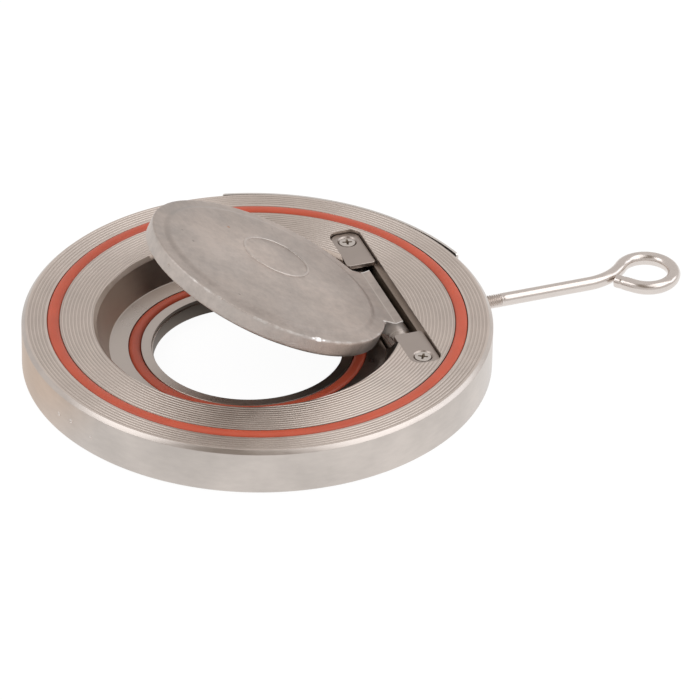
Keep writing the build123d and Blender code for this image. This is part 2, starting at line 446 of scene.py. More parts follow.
class Recipe(Wiring):
    """A Geometry Nodes tree with named inputs, run on a host object to give a plain mesh.

    Each recipe has a title, and its inputs of each socket type by name.
    """

    title: str
    inputs: dict[str, tuple[str, ...]]

    def __init__(self) -> None:
        """Make the tree's interface and wire the tree."""
        super().__init__(bpy.data.node_groups.new(self.title, "GeometryNodeTree"))
        interface = self.tree.interface
        interface.new_socket("Geometry", in_out="INPUT", socket_type="NodeSocketGeometry")
        for kind, labels in self.inputs.items():
            for label in labels:
                interface.new_socket(label, in_out="INPUT", socket_type=f"NodeSocket{kind}")
        interface.new_socket("Material", in_out="INPUT", socket_type="NodeSocketMaterial")
        interface.new_socket("Geometry", in_out="OUTPUT", socket_type="NodeSocketGeometry")
        self.entry = self.tree.nodes.new("NodeGroupInput").outputs
        self.make()

    def make(self) -> None:
        """Wire the tree; each recipe has its own."""
        raise NotImplementedError

    def finish(self, geometry: Socket, inner: Socket | None = None) -> None:
        """End the tree with real, smooth geometry in its materials.

        Args:
            geometry: what the tree has made.
            inner: a second material, for the faces whose inner attribute is set.
        """
        real = self.node("GeometryNodeRealizeInstances", {"Geometry": geometry})
        smooth = self.node("GeometryNodeSetShadeSmooth", {"Geometry": real.outputs[0]})
        feeds = {"Geometry": smooth.outputs[0], "Material": self.entry["Material"]}
        dressed = self.node("GeometryNodeSetMaterial", feeds)
        if inner is not None:
            feeds = {"Geometry": dressed.outputs[0], "Selection": self.named("inner"), "Material": inner}
            dressed = self.node("GeometryNodeSetMaterial", feeds)
        self.node("NodeGroupOutput", {"Geometry": dressed.outputs[0]})

    def named(self, name: str, kind: str = "FLOAT") -> Socket:
        """Read an attribute by its name."""
        return self.node("GeometryNodeInputNamedAttribute", {"Name": name}, data_type=kind).outputs[0]

    def pushed(self, geometry: Socket, push: Socket) -> Socket:
        """Geometry with its points moved along their normals."""
        offset = self.scaled(self.node("GeometryNodeInputNormal").outputs[0], push)
        return self.node("GeometryNodeSetPosition", {"Geometry": geometry, "Offset": offset}).outputs[0]

    def run(self, host: Piece, **values: Any) -> Piece:
        """Run the tree on a host object.

        Args:
            host: the object whose mesh goes in.
            values: a value for each named input, with underscores for spaces.

        Returns:
            The host, now a plain mesh with its faces outwards.
        """
        modifier = host.modifiers.new(self.tree.name, "NODES")
        modifier.node_group = self.tree
        for socket in self.tree.interface.items_tree:
            key = socket.name.replace(" ", "_")
            if socket.in_out == "INPUT" and key in values:
                modifier[socket.identifier] = values[key]
        bake(host)
        bm = bmesh.new()
        bm.from_mesh(host.data)
        seal(bm, host.data)
        return host


class Turning(Recipe):
    """Turns a profile about an upright axis. The host's points run along the profile: x is the radius."""

    title = "Turning"
    inputs = {"Int": ("Steps",), "Float": ("Axis X", "Wobble"), "Bool": ("Closed",)}

    def make(self) -> None:
        """A grid whose rows are the profile, wrapped round the axis and closed."""
        entry = self.entry
        size = self.node("GeometryNodeAttributeDomainSize", {"Geometry": entry["Geometry"]}, component="MESH")
        count = size.outputs["Point Count"]
        rows = self.math("ADD", count, entry["Closed"])
        columns = self.math("ADD", entry["Steps"], 1.0)
        grid = self.node("GeometryNodeMeshGrid", {"Vertices X": columns, "Vertices Y": rows}).outputs["Mesh"]
        index = self.node("GeometryNodeInputIndex").outputs[0]
        feeds = {
            "Geometry": entry["Geometry"],
            "Value": self.node("GeometryNodeInputPosition").outputs[0],
            "Index": self.math("MODULO", self.math("MODULO", index, rows), count),
        }
        point = self.parts(self.node("GeometryNodeSampleIndex", feeds, data_type="FLOAT_VECTOR").outputs[0])
        column = self.math("FLOOR", self.math("DIVIDE", self.math("ADD", index, 0.5), rows))
        angle = self.math("DIVIDE", self.math("MULTIPLY", column, math.tau), entry["Steps"])
        ripple = self.math("MULTIPLY", self.wave(angle, 5.0, 2.1), 0.4)
        sway = self.math("ADD", self.wave(angle, 2.0, 0.7), ripple)
        radius = self.math("MULTIPLY_ADD", sway, entry["Wobble"], point["X"])
        across = self.math("MULTIPLY_ADD", self.math("COSINE", angle), radius, entry["Axis X"])
        along = self.math("MULTIPLY", self.math("SINE", angle), radius)
        spot = self.node("ShaderNodeCombineXYZ", {0: across, 1: along, 2: point["Z"]})
        turned = self.node("GeometryNodeSetPosition", {"Geometry": grid, "Position": spot.outputs[0]})
        merged = self.node("GeometryNodeMergeByDistance", {"Geometry": turned.outputs[0], "Distance": WELD})
        self.finish(merged.outputs[0])

    def wave(self, angle: Socket, count: float, phase: float) -> Socket:
        """A wave that goes round the turn a number of times."""
        return self.math("SINE", self.math("MULTIPLY_ADD", angle, count, phase))

    def turn(
        self,
        name: str,
        profile: Profile,
        material: Finish,
        steps: int = 256,
        axis_x: float = 0.0,
        closed: bool = False,
        wobble: float = 0.0,
    ) -> Piece:
        """Turn (radius, height) points, which start and end on the axis unless they are a closed ring."""
        host = polyline(name, [(radius, 0, height) for radius, height in profile])
        return self.run(host, Steps=steps, Axis_X=axis_x, Closed=closed, Wobble=wobble, Material=material)


class Serrations(Recipe):
    """Round-nosed tool paths in rings at an even pitch, to be cut out of a face."""

    title = "Serrations"
    inputs = {"Int": ("Grooves", "Steps"), "Float": ("First Radius", "Pitch", "Tool Radius", "Height")}
    nose_flats = 20

    def make(self) -> None:
        """One unit circle on each point, scaled to its groove's radius and swept by the tool's nose."""
        entry = self.entry
        centre = self.node("ShaderNodeCombineXYZ", {2: entry["Height"]}).outputs[0]
        points = self.node("GeometryNodePoints", {"Count": entry["Grooves"], "Position": centre}).outputs[0]
        circle = self.node("GeometryNodeCurvePrimitiveCircle", {"Resolution": entry["Steps"], "Radius": 1.0})
        index = self.node("GeometryNodeInputIndex").outputs[0]
        radius = self.math("MULTIPLY_ADD", index, entry["Pitch"], entry["First Radius"])
        scale = self.node("ShaderNodeCombineXYZ", {0: radius, 1: radius, 2: 1.0}).outputs[0]
        feeds = {"Points": points, "Instance": circle.outputs[0], "Scale": scale}
        rings = self.node("GeometryNodeInstanceOnPoints", feeds).outputs[0]
        real = self.node("GeometryNodeRealizeInstances", {"Geometry": rings}).outputs[0]
        feeds = {"Resolution": self.nose_flats, "Radius": entry["Tool Radius"]}
        nose = self.node("GeometryNodeCurvePrimitiveCircle", feeds).outputs[0]
        swept = self.node("GeometryNodeCurveToMesh", {"Curve": real, "Profile Curve": nose})
        self.finish(swept.outputs[0])


class ThreadedBar(Recipe):
    """Sweeps a round bar along the host's path. Its point attributes are thickness and threaded."""

    title = "Threaded bar"
    inputs = {"Int": ("Flats",), "Float": ("Bar Radius", "Pitch", "Thread Depth", "Thread Lift")}

    def make(self) -> None:
        """Sweep the bar, then push its skin in and out along one helix where it is threaded."""
        entry = self.entry
        curve = self.node("GeometryNodeMeshToCurve", {"Mesh": entry["Geometry"]}).outputs[0]
        curve, along = self.kept(curve, self.node("GeometryNodeSplineParameter").outputs["Length"])
        feeds = {"Resolution": entry["Flats"], "Radius": entry["Bar Radius"]}
        ring = self.node("GeometryNodeCurvePrimitiveCircle", feeds).outputs[0]
        ring, around = self.kept(ring, self.node("GeometryNodeSplineParameter").outputs["Factor"])
        feeds = {"Curve": curve, "Profile Curve": ring, "Scale": self.named("thickness"), "Fill Caps": True}
        swept = self.node("GeometryNodeCurveToMesh", feeds).outputs[0]
        turns = self.math("ADD", self.math("DIVIDE", along, entry["Pitch"]), around)
        flank = self.math("ABSOLUTE", self.math("MULTIPLY_ADD", self.math("FRACT", turns), 2.0, -1.0))
        steep, flat = 1.4, -0.2
        crest = self.math("MAXIMUM", self.math("MULTIPLY_ADD", flank, steep, flat), 0.0)
        sunk = self.math("MULTIPLY", self.math("MINIMUM", crest, 1.0), entry["Thread Depth"])
        height = self.math("SUBTRACT", entry["Thread Lift"], sunk)
        self.finish(self.pushed(swept, self.math("MULTIPLY", height, self.named("threaded"))))

    def kept(self, geometry: Socket, value: Socket) -> tuple[Socket, Socket]:
        """Capture a value on a curve, so that it can be read after the sweep.

        Args:
            geometry: the curve.
            value: what is captured on its points.

        Returns:
            The curve and the captured value.
        """
        capture = self.tree.nodes.new("GeometryNodeCaptureAttribute")
        capture.capture_items.new("FLOAT", "Value")
        self.feed(capture.inputs["Geometry"], geometry)
        self.feed(capture.inputs[1], value)
        return capture.outputs[0], capture.outputs[1]


class CastSkin(Recipe):
    """Moves a dense mesh's skin in and out, as sand or wax leaves it, and nibbles its sharp edges."""

    title = "Cast skin"
    inputs = {"Float": ("Wave", "Grain", "Nibble", "Seed")}
    wave_scale = 60.0
    grain_scale = 900.0
    bite_scale = 330.0
    bite_threshold = 0.12

    def make(self) -> None:
        """Two sizes of noise along the normal, and bites where the host's edge attribute is high."""
        entry = self.entry
        wave = self.noise(self.wave_scale, entry["Wave"])
        grain = self.noise(self.grain_scale, entry["Grain"])
        bites = self.math("ADD", self.noise(self.bite_scale, 1.0), -self.bite_threshold)
        bites = self.math("MULTIPLY", self.math("MAXIMUM", bites, 0.0), self.named("edge"))
        bite = self.math("MULTIPLY", bites, entry["Nibble"])
        push = self.math("SUBTRACT", self.math("ADD", wave, grain), bite)
        self.finish(self.pushed(entry["Geometry"], push))

    def noise(self, scale: float, amount: Any) -> Socket:
        """Noise about zero.

        Args:
            scale: how fine it is.
            amount: how strong it is.

        Returns:
            The noise, times the amount.
        """
        feeds = {"W": self.entry["Seed"], "Scale": scale, "Detail": 3.0}
        made = self.node("ShaderNodeTexNoise", feeds, noise_dimensions="4D").outputs[0]
        return self.math("MULTIPLY", self.math("SUBTRACT", made, 0.5), amount)


class Fastening(Recipe):
    """Sets one fastener on every point of the host. Point attributes: out is its axis, spin its turn."""

    title = "Fastening"
    inputs = {"Object": ("Fastener",), "Material": ("Inner Material",)}

    def make(self) -> None:
        """One instance on each point, aligned and spun."""
        out = self.named("out", "FLOAT_VECTOR")
        aligned = self.node("FunctionNodeAlignRotationToVector", {"Vector": out}, axis="Z").outputs[0]
        spin = self.node("FunctionNodeAxisAngleToRotation", {"Angle": self.named("spin")}).outputs[0]
        feeds = {0: aligned, 1: spin}
        turned = self.node("FunctionNodeRotateRotation", feeds, rotation_space="LOCAL").outputs[0]
        shape = self.node("GeometryNodeObjectInfo", {"Object": self.entry["Fastener"]}).outputs["Geometry"]
        points = self.node("GeometryNodeMeshToPoints", {"Mesh": self.entry["Geometry"]}).outputs[0]
        feeds = {"Points": points, "Instance": shape, "Rotation": turned}
        placed = self.node("GeometryNodeInstanceOnPoints", feeds)
        self.finish(placed.outputs[0], self.entry["Inner Material"])

    def set_out(
        self,
        name: str,
        fastener: Piece,
        places: Sequence[tuple[Vector, Vector, float]],
        material: Finish,
        inner: Finish | None = None,
    ) -> Piece:
        """Make one object of a fastener set at several places.

        Args:
            name: the new object's name.
            fastener: the pattern, along +Z, which is removed afterwards.
            places: where each one sits, its axis and its spin in radians.
            material: the finish.
            inner: the finish of its recess, if it has one.

        Returns:
            The object that holds them all.
        """
        own = fastener.data.materials
        is_inner = [float(own[face.material_index] == inner) for face in fastener.data.polygons]
        write_attribute(fastener.data, "inner", is_inner, domain="FACE")
        mesh = bpy.data.meshes.new(name)
        mesh.from_pydata([place for place, _, _ in places], [], [])
        write_attribute(mesh, "out", [value for _, axis, _ in places for value in axis], "FLOAT_VECTOR")
        write_attribute(mesh, "spin", [spin for _, _, spin in places])
        host = new_object(name, mesh)
        item = self.run(host, Fastener=fastener, Material=material, Inner_Material=inner or material)
        bpy.data.objects.remove(fastener)
        return item


# ---- finishes ----
class Lay(Enum):
    """Which way a tool ran over a surface."""

    FACE = "rings on a flat face"
    BORE = "rings along a bore or a rim"
    MILLED = "arcs of a milling cutter"


class Shader(Wiring):
    """One procedural material on the Principled shader."""

    def __init__(self, name: str, **sockets: Any) -> None:
        """Start a material.

        Args:
            name: its name.
            sockets: plain values for the shader's own sockets, with underscores for spaces.
        """
        self.material = bpy.data.materials.new(name)
        self.material.use_nodes = True
        super().__init__(self.material.node_tree)
        self.surface = self.tree.nodes["Principled BSDF"]
        self.done(**sockets)

    def place(self, stretch: Colour = (1, 1, 1), shift_x: float = 0.0) -> Socket:
        """The point on the object, stretched along its axes and moved along X."""
        out = {"Vector": self.node("ShaderNodeTexCoord").outputs["Object"], "Location": (-shift_x, 0, 0)}
        return self.node("ShaderNodeMapping", out | {"Scale": stretch}).outputs[0]

    def noise(self, where: Socket, scale: float, detail: float, seed: float) -> Socket:
        """Fractal noise from 0 to 1."""
        feeds = {"Vector": where, "W": seed, "Scale": scale, "Detail": detail}
        return self.node("ShaderNodeTexNoise", feeds, noise_dimensions="4D").outputs[0]

    def spread(self, value: Any, span: Span, onto: Sequence[Any]) -> Socket:
        """Map one span of values onto another, clamped."""
        feeds = dict(zip(("Value", "From Min", "From Max", "To Min", "To Max"), (value, *span, *onto)))
        return self.node("ShaderNodeMapRange", feeds).outputs[0]

    def bump(self, height: Any, depth: float, base: Socket | None = None) -> Socket:
        """A bumped normal.

        Args:
            height: the pattern, from 0 to 1.
            depth: how high its 1 stands.
            base: the normal it is laid over, if not the surface's own.

        Returns:
            The new normal.
        """
        made = self.node("ShaderNodeBump", {"Height": height, "Distance": depth, "Strength": 1.0})
        if base is not None:
            self.feed(made.inputs["Normal"], base)
        return made.outputs[0]

    def done(self, **sockets: Any) -> Finish:
        """Feed the shader's own sockets, with underscores for spaces.

        Args:
            sockets: a value or another node's output for each.

        Returns:
            The material.
        """
        for label, value in sockets.items():
            self.feed(self.surface.inputs[label.replace("_", " ")], value)
        return self.material


def towards(azimuth: float, elevation: float) -> Vector:
    """The direction of a bearing in degrees: azimuth 0 is the -Y side, 90 the +X side."""
    turn, rise = math.radians(azimuth), math.radians(elevation)
    return Vector((math.sin(turn) * math.cos(rise), -math.cos(turn) * math.cos(rise), math.sin(rise)))


def rgb(colour: Colour, gain: float = 1.0) -> tuple[float, float, float, float]:
    """A linear colour with a gain, as a socket takes it."""
    return (colour[0] * gain, colour[1] * gain, colour[2] * gain, 1.0)


@dataclass(frozen=True)
class MachinedSteel:
    """Stainless steel as a lathe or a mill leaves it, with fine tool lines, faint stains and painted shade.

    The painted shade darkens the steel along X minus Y, for the shade that the open disc casts on the hinge
    side: painted_shade_run is where it begins and where it is full, and painted_shade_gain how bright it
    leaves the steel there.
    """

    name: str
    lay: Lay
    colour: Colour = (0.60, 0.545, 0.505)
    roughness: float = 0.3
    axis_x: float = 0.0
    line_pitch: float = 0.16 * MM
    line_depth: float = 0.004 * MM
    stain: float = 0.06
    painted_shade_run: Span = (0.0, 1.0)
    painted_shade_gain: float = 1.0

    def material(self) -> Finish:
        """Build the material.

        Returns:
            The finished material.
        """
        shader = Shader(self.name, Metallic=1.0)
        where = shader.place(shift_x=self.axis_x)
        run = self.across_lines(shader, where)
        coarse_share = 0.21
        fine = self.lines(shader, run, 1 / self.line_pitch)
        coarse = self.lines(shader, run, coarse_share / self.line_pitch)
        height = shader.math("MULTIPLY_ADD", coarse, 0.5, fine)
        cloud = shader.noise(where, scale=55.0, detail=4.0, seed=3.0)
        smear = shader.noise(shader.place((1, 1, 3.2)), scale=210.0, detail=3.0, seed=8.0)
        stained = shader.math("MULTIPLY_ADD", smear, 0.4, cloud)
        usual = (0.5, 0.9)
        gain = shader.spread(stained, usual, (1 - self.stain, 1 + self.stain))
        corner = shader.parts(shader.place())
        # painted shade: darker along X minus Y, where the open disc shades the hinge side
        across = shader.math("SUBTRACT", corner["X"], corner["Y"])
        gain = shader.math("MULTIPLY", gain, shader.spread(across, self.painted_shade_run, (1.0, self.painted_shade_gain)))
        matt = shader.spread(stained, usual, (self.roughness - 0.04, self.roughness + 0.06))
        normal = shader.bump(height, self.line_depth)
        return shader.done(Base_Color=shader.scaled(self.colour, gain), Roughness=matt, Normal=normal)

    def across_lines(self, shader: Shader, where: Socket) -> Socket:
        """The running length that the tool's lines lie across.

        Args:
            shader: the material.
            where: the point on the object, about the turning axis.

        Returns:
            The height on a bore, the radius on a face, or the distance from a milling cutter's centre.
        """
        if self.lay is Lay.BORE:
            return shader.parts(where)["Z"]
        if self.lay is Lay.FACE:
            return shader.measured("LENGTH", shader.place((1, 1, 0), self.axis_x))
        cutter_x, flattened = 30 * MM, 0.35
        return shader.measured("LENGTH", shader.place((1, flattened, 0), cutter_x))

    @staticmethod
    def lines(shader: Shader, run: Socket, density: float) -> Socket:
        """Uneven lines across a running length."""
        feeds = {"W": run, "Scale": density, "Detail": 2.0}
        return shader.node("ShaderNodeTexNoise", feeds, noise_dimensions="1D").outputs[0]


@dataclass(frozen=True)
class CastSteel:
    """Blasted investment-cast steel: matt and mottled, bright at abraded edges and with a painted highlight
    there, with pits and rust. Its tone fades outwards from the middle, and painted shade darkens the foot of
    the ramp round it.
    """

    name: str = "blasted_cast_steel"
    colour: Colour = (0.56, 0.49, 0.445)
    wear_highlight_colour: Colour = (0.78, 0.75, 0.72)
    rust_colour: Colour = (0.5, 0.23, 0.1)
    rust_place: Vector = field(default_factory=Vector)
    rust_edge: Span = (0.3 * MM, 0.75 * MM)
    middle: Vector = field(default_factory=Vector)
    fade_run: Span = (12 * MM, 34 * MM)
    fade_gain: Span = (1.06, 0.92)
    ramp_radius: float = 39.4 * MM
    ramp_edge: Span = (0.3 * MM, 1.3 * MM)
    ramp_shade_gain: float = 0.88
    grain_depth: float = 0.035 * MM
    pit_depth: float = 0.08 * MM

    def material(self) -> Finish:
        """Build the material.

        Returns:
            The finished material.
        """
        shader = Shader(self.name, Metallic=1.0)
        where = shader.place()
        fleck = shader.noise(where, scale=330.0, detail=5.0, seed=5.0)
        grit = shader.noise(where, scale=2300.0, detail=3.0, seed=2.0)
        tone = self.tone(shader, where, fleck)
        wear_highlight, pits = self.wear_highlight_mask(shader, where), self.pits(shader, where)
        cool = shader.noise(where, scale=60.0, detail=3.0, seed=11.0)
        cool = shader.spread(cool, (0.4, 0.65), (0.0, 1.0))
        base = shader.blend(cool, rgb(self.colour), rgb(self.greyer()))
        base = shader.scaled(base, self.gain(shader, where, tone))
        base = shader.blend(wear_highlight, base, rgb(self.wear_highlight_colour))
        rust = shader.measured("DISTANCE", where, self.rust_place)
        rust = shader.spread(rust, self.rust_edge, (0.75, 0.0))
        base = shader.blend(rust, base, rgb(self.rust_colour))
        dark = shader.math("MULTIPLY", shader.math("SUBTRACT", 1.0, pits), 0.6)
        base = shader.blend(dark, base, rgb(self.colour, 0.35))
        rough = shader.spread(tone, (0.7, 1.2), (0.42, 0.54))
        rough = shader.math("SUBTRACT", rough, shader.math("MULTIPLY", wear_highlight, 0.25))
        skin = shader.bump(shader.math("MULTIPLY_ADD", fleck, 1.5, grit), self.grain_depth)
        return shader.done(Base_Color=base, Roughness=rough, Normal=shader.bump(pits, self.pit_depth, skin))

    def tone(self, shader: Shader, where: Socket, fleck: Socket) -> Socket:
        """The mottling: clouds, flecks and specks of noise.

        Args:
            shader: the material.
            where: the point on the object.
            fleck: the middle size of noise, which the bump shares.

        Returns:
            A value from about 0.7 to 1.2.
        """
        cloud = shader.noise(where, scale=38.0, detail=5.0, seed=1.0)
        speck = shader.noise(where, scale=1000.0, detail=3.0, seed=14.0)
        tone = shader.math("MULTIPLY_ADD", fleck, 0.6, cloud)
        return shader.math("MULTIPLY_ADD", speck, 0.3, tone)

    def gain(self, shader: Shader, where: Socket, tone: Socket) -> Socket:
        """How bright the casting is at a place.

        Args:
            shader: the material.
            where: the point on the object.
            tone: the mottling.

        Returns:
            A factor near 1.
        """
        gain = shader.spread(tone, (0.75, 1.15), (0.84, 1.14))
        out = shader.measured("DISTANCE", where, self.middle)
        gain = shader.math("MULTIPLY", gain, shader.spread(out, self.fade_run, self.fade_gain))
        # painted shade: a darker band at the foot of the ramp
        ramp = shader.math("ABSOLUTE", shader.math("SUBTRACT", out, self.ramp_radius))
        return shader.math("MULTIPLY", gain, shader.spread(ramp, self.ramp_edge, (self.ramp_shade_gain, 1.0)))

    def wear_highlight_mask(self, shader: Shader, where: Socket) -> Socket:
        """Bare metal along abraded edges, and a painted highlight there, ragged at its border.

        Args:
            shader: the material.
            where: the point on the object.

        Returns:
            A mask from 0 to 1.
        """
        ragged = shader.noise(where, scale=300.0, detail=4.0, seed=9.0)
        ragged = shader.math("MULTIPLY_ADD", ragged, 3.0, -1.0)
        # painted highlight: the wear mask also brightens edges where the light catches them, most on the near
        # side
        wear_highlight_share = shader.node("ShaderNodeAttribute", attribute_name="wear_highlight").outputs["Fac"]
        return shader.spread(shader.math("MULTIPLY", wear_highlight_share, ragged), (0.08, 0.3), (0.0, 1.0))

    def pits(self, shader: Shader, where: Socket) -> Socket:
        """Sparse pinholes.

        Args:
            shader: the material.
            where: the point on the object.

        Returns:
            0 inside a pit and 1 elsewhere.
        """
        cells = shader.node("ShaderNodeTexVoronoi", {"Vector": where, "Scale": 150.0, "Randomness": 1.0})
        pits = shader.spread(cells.outputs["Distance"], (0.03, 0.09), (0.0, 1.0))
        rare = shader.math("GREATER_THAN", cells.outputs["Color"], 0.72)
        return shader.math("MAXIMUM", pits, shader.math("SUBTRACT", 1.0, rare))

    def greyer(self, greyed: float = 0.14, gain: float = 0.98) -> Colour:
        """The cooler tone of the mottling."""
        grey = sum(self.colour) / 3
        return tuple(((1 - greyed) * part + greyed * grey) * gain for part in self.colour)


@dataclass(frozen=True)
class BrightBar:
    """Polished bright bar or a plated fastener, with fine scratches and a faint haze."""

    name: str
    colour: Colour = (0.69, 0.63, 0.59)
    roughness: float = 0.2
    scratch_depth: float = 0.006 * MM

    def material(self) -> Finish:
        """Build the material.

        Returns:
            The finished material.
        """
        shader = Shader(self.name, Metallic=1.0)
        haze = shader.noise(shader.place(), scale=130.0, detail=4.0, seed=4.0)
        drawn = shader.noise(shader.place((0.05, 1, 1)), scale=1900.0, detail=2.0, seed=6.0)
        usual = (0.3, 0.75)
        tone = shader.scaled(self.colour, shader.spread(haze, usual, (0.95, 1.04)))
        rough = shader.spread(haze, usual, (self.roughness - 0.03, self.roughness + 0.09))
        return shader.done(Base_Color=tone, Roughness=rough, Normal=shader.bump(drawn, self.scratch_depth))


@dataclass(frozen=True)
class SiliconeRubber:
    """Orange-red silicone rubber: matt, faintly dusty, and a little translucent."""

    name: str = "silicone_rubber"
    colour: Colour = (0.575, 0.099, 0.049)
    dust_depth: float = 0.01 * MM

    def material(self) -> Finish:
        """Build the material.

        Returns:
            The finished material.
        """
        shader = Shader(self.name, Specular_IOR_Level=0.42, Subsurface_Weight=0.08, Subsurface_Scale=0.6 * MM)
        where = shader.place()
        cloud = shader.noise(where, scale=70.0, detail=4.0, seed=2.0)
        dust = shader.noise(where, scale=2400.0, detail=2.0, seed=7.0)
        tone = shader.math("MULTIPLY_ADD", dust, 0.3, cloud)
        usual = (0.4, 0.95)
        pale = shader.spread(tone, usual, (0.0, 1.0))
        base = shader.blend(pale, rgb(self.colour, 0.9), rgb(self.colour, 1.12))
        rough = shader.spread(tone, usual, (0.3, 0.44))
        return shader.done(Base_Color=base, Roughness=rough, Normal=shader.bump(dust, self.dust_depth))


@dataclass(frozen=True)
class Finishes:
    """Every finish that more than one piece may need, each made once."""

    face: Finish
    groove: Finish
    rim: Finish
    recess: Finish
    land: Finish
    pocket: Finish
    keeper: Finish
    bar: Finish
    screw: Finish
    grime: Finish
    ground: Finish
    sheet: Finish
    rubber: Finish

    @classmethod
    def make(cls, flow_x: float) -> "Finishes":
        """Build the materials.

        Args:
            flow_x: where the bore's axis stands, which its tool lines go round.

        Returns:
            The finishes, by what they are on.
        """
        face, bore, milled = Lay.FACE, Lay.BORE, Lay.MILLED
        burnished, smooth = {"line_depth": 0.0015 * MM}, {"line_depth": 0.002 * MM}
        # painted shade on the recess wall under the disc's hinge side
        hinge_shade = {"painted_shade_run": (0.0, 48 * MM), "painted_shade_gain": 0.15}
        ground = {"line_pitch": 0.3 * MM, "line_depth": 0.012 * MM}
        recess_tone, land_tone = (0.455, 0.38, 0.325), (0.55, 0.495, 0.455)
        specs = {
            # painted light and shade: the face steel is a lighter copy for the lands, the serration steel a
            # darker copy for the grooves
            "face": MachinedSteel("serrated_face_steel", face, (0.69, 0.61, 0.555), 0.34, **burnished),
            "groove": MachinedSteel("serration_steel", face, (0.57, 0.50, 0.45), 0.34, **burnished),
            "rim": MachinedSteel("turned_rim_steel", bore, roughness=0.33, stain=0.1, **smooth),
            "recess": MachinedSteel("turned_recess_steel", bore, recess_tone, 0.33, flow_x, **smooth, **hinge_shade),
            "land": MachinedSteel("turned_seat_steel", face, land_tone, 0.3, flow_x, **smooth),
            "pocket": MachinedSteel("milled_pocket_steel", milled, (0.48, 0.42, 0.375), 0.35),
            "keeper": MachinedSteel("milled_keeper_steel", milled, (0.44, 0.385, 0.35), 0.34),
            "bar": BrightBar("bright_bar_steel"),
            "screw": BrightBar("bright_screw_steel", (0.66, 0.61, 0.57), 0.22),
            # painted shade: a dark steel for the deep hinge slot and the screws' cross recesses
            "grime": MachinedSteel("oiled_recess_steel", face, (0.28, 0.23, 0.185), 0.45),
            "ground": MachinedSteel("ground_end_steel", milled, (0.86, 0.83, 0.81), 0.38, **ground),
            "sheet": MachinedSteel("satin_sheet_steel", bore, (0.78, 0.75, 0.72), 0.28),
            "rubber": SiliconeRubber(),
        }
        return cls(**{use: spec.material() for use, spec in specs.items()})


@dataclass(frozen=True)
class Workshop:
    """The finishes and recipes that the sub-assemblies draw on."""

    finishes: Finishes
    turning: Turning = field(default_factory=Turning)
    serrations: Serrations = field(default_factory=Serrations)
    bar: ThreadedBar = field(default_factory=ThreadedBar)
    skin: CastSkin = field(default_factory=CastSkin)
    fastening: Fastening = field(default_factory=Fastening)

    def turned_cut(self, profile: Profile, steps: int, axis_x: float, closed: bool = True) -> Piece:
        """A turned cutter that leaves level lands and upright walls.

        Args:
            profile: its (radius, height) points.
            steps: flats round the turn.
            axis_x: where its axis stands.
            closed: whether the profile is a ring clear of the axis.

        Returns:
            The cutter.
        """
        made = self.finishes
        cutter = self.turning.turn("turned_cutter", profile, made.recess, steps, axis_x, closed)
        return split_lay(cutter, made.land, made.recess)


def hand_over(item: Piece, body: str, node: str) -> None:
    """Let a finished piece stand for its CAD node and move with its body.

    Args:
        item: the piece.
        body: the body it rides on.
        node: the CAD node it replaces.
    """
    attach(item, body)
    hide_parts(node)
    log.info("%s: %d faces, stands for %s", item.name, len(item.data.polygons), node)


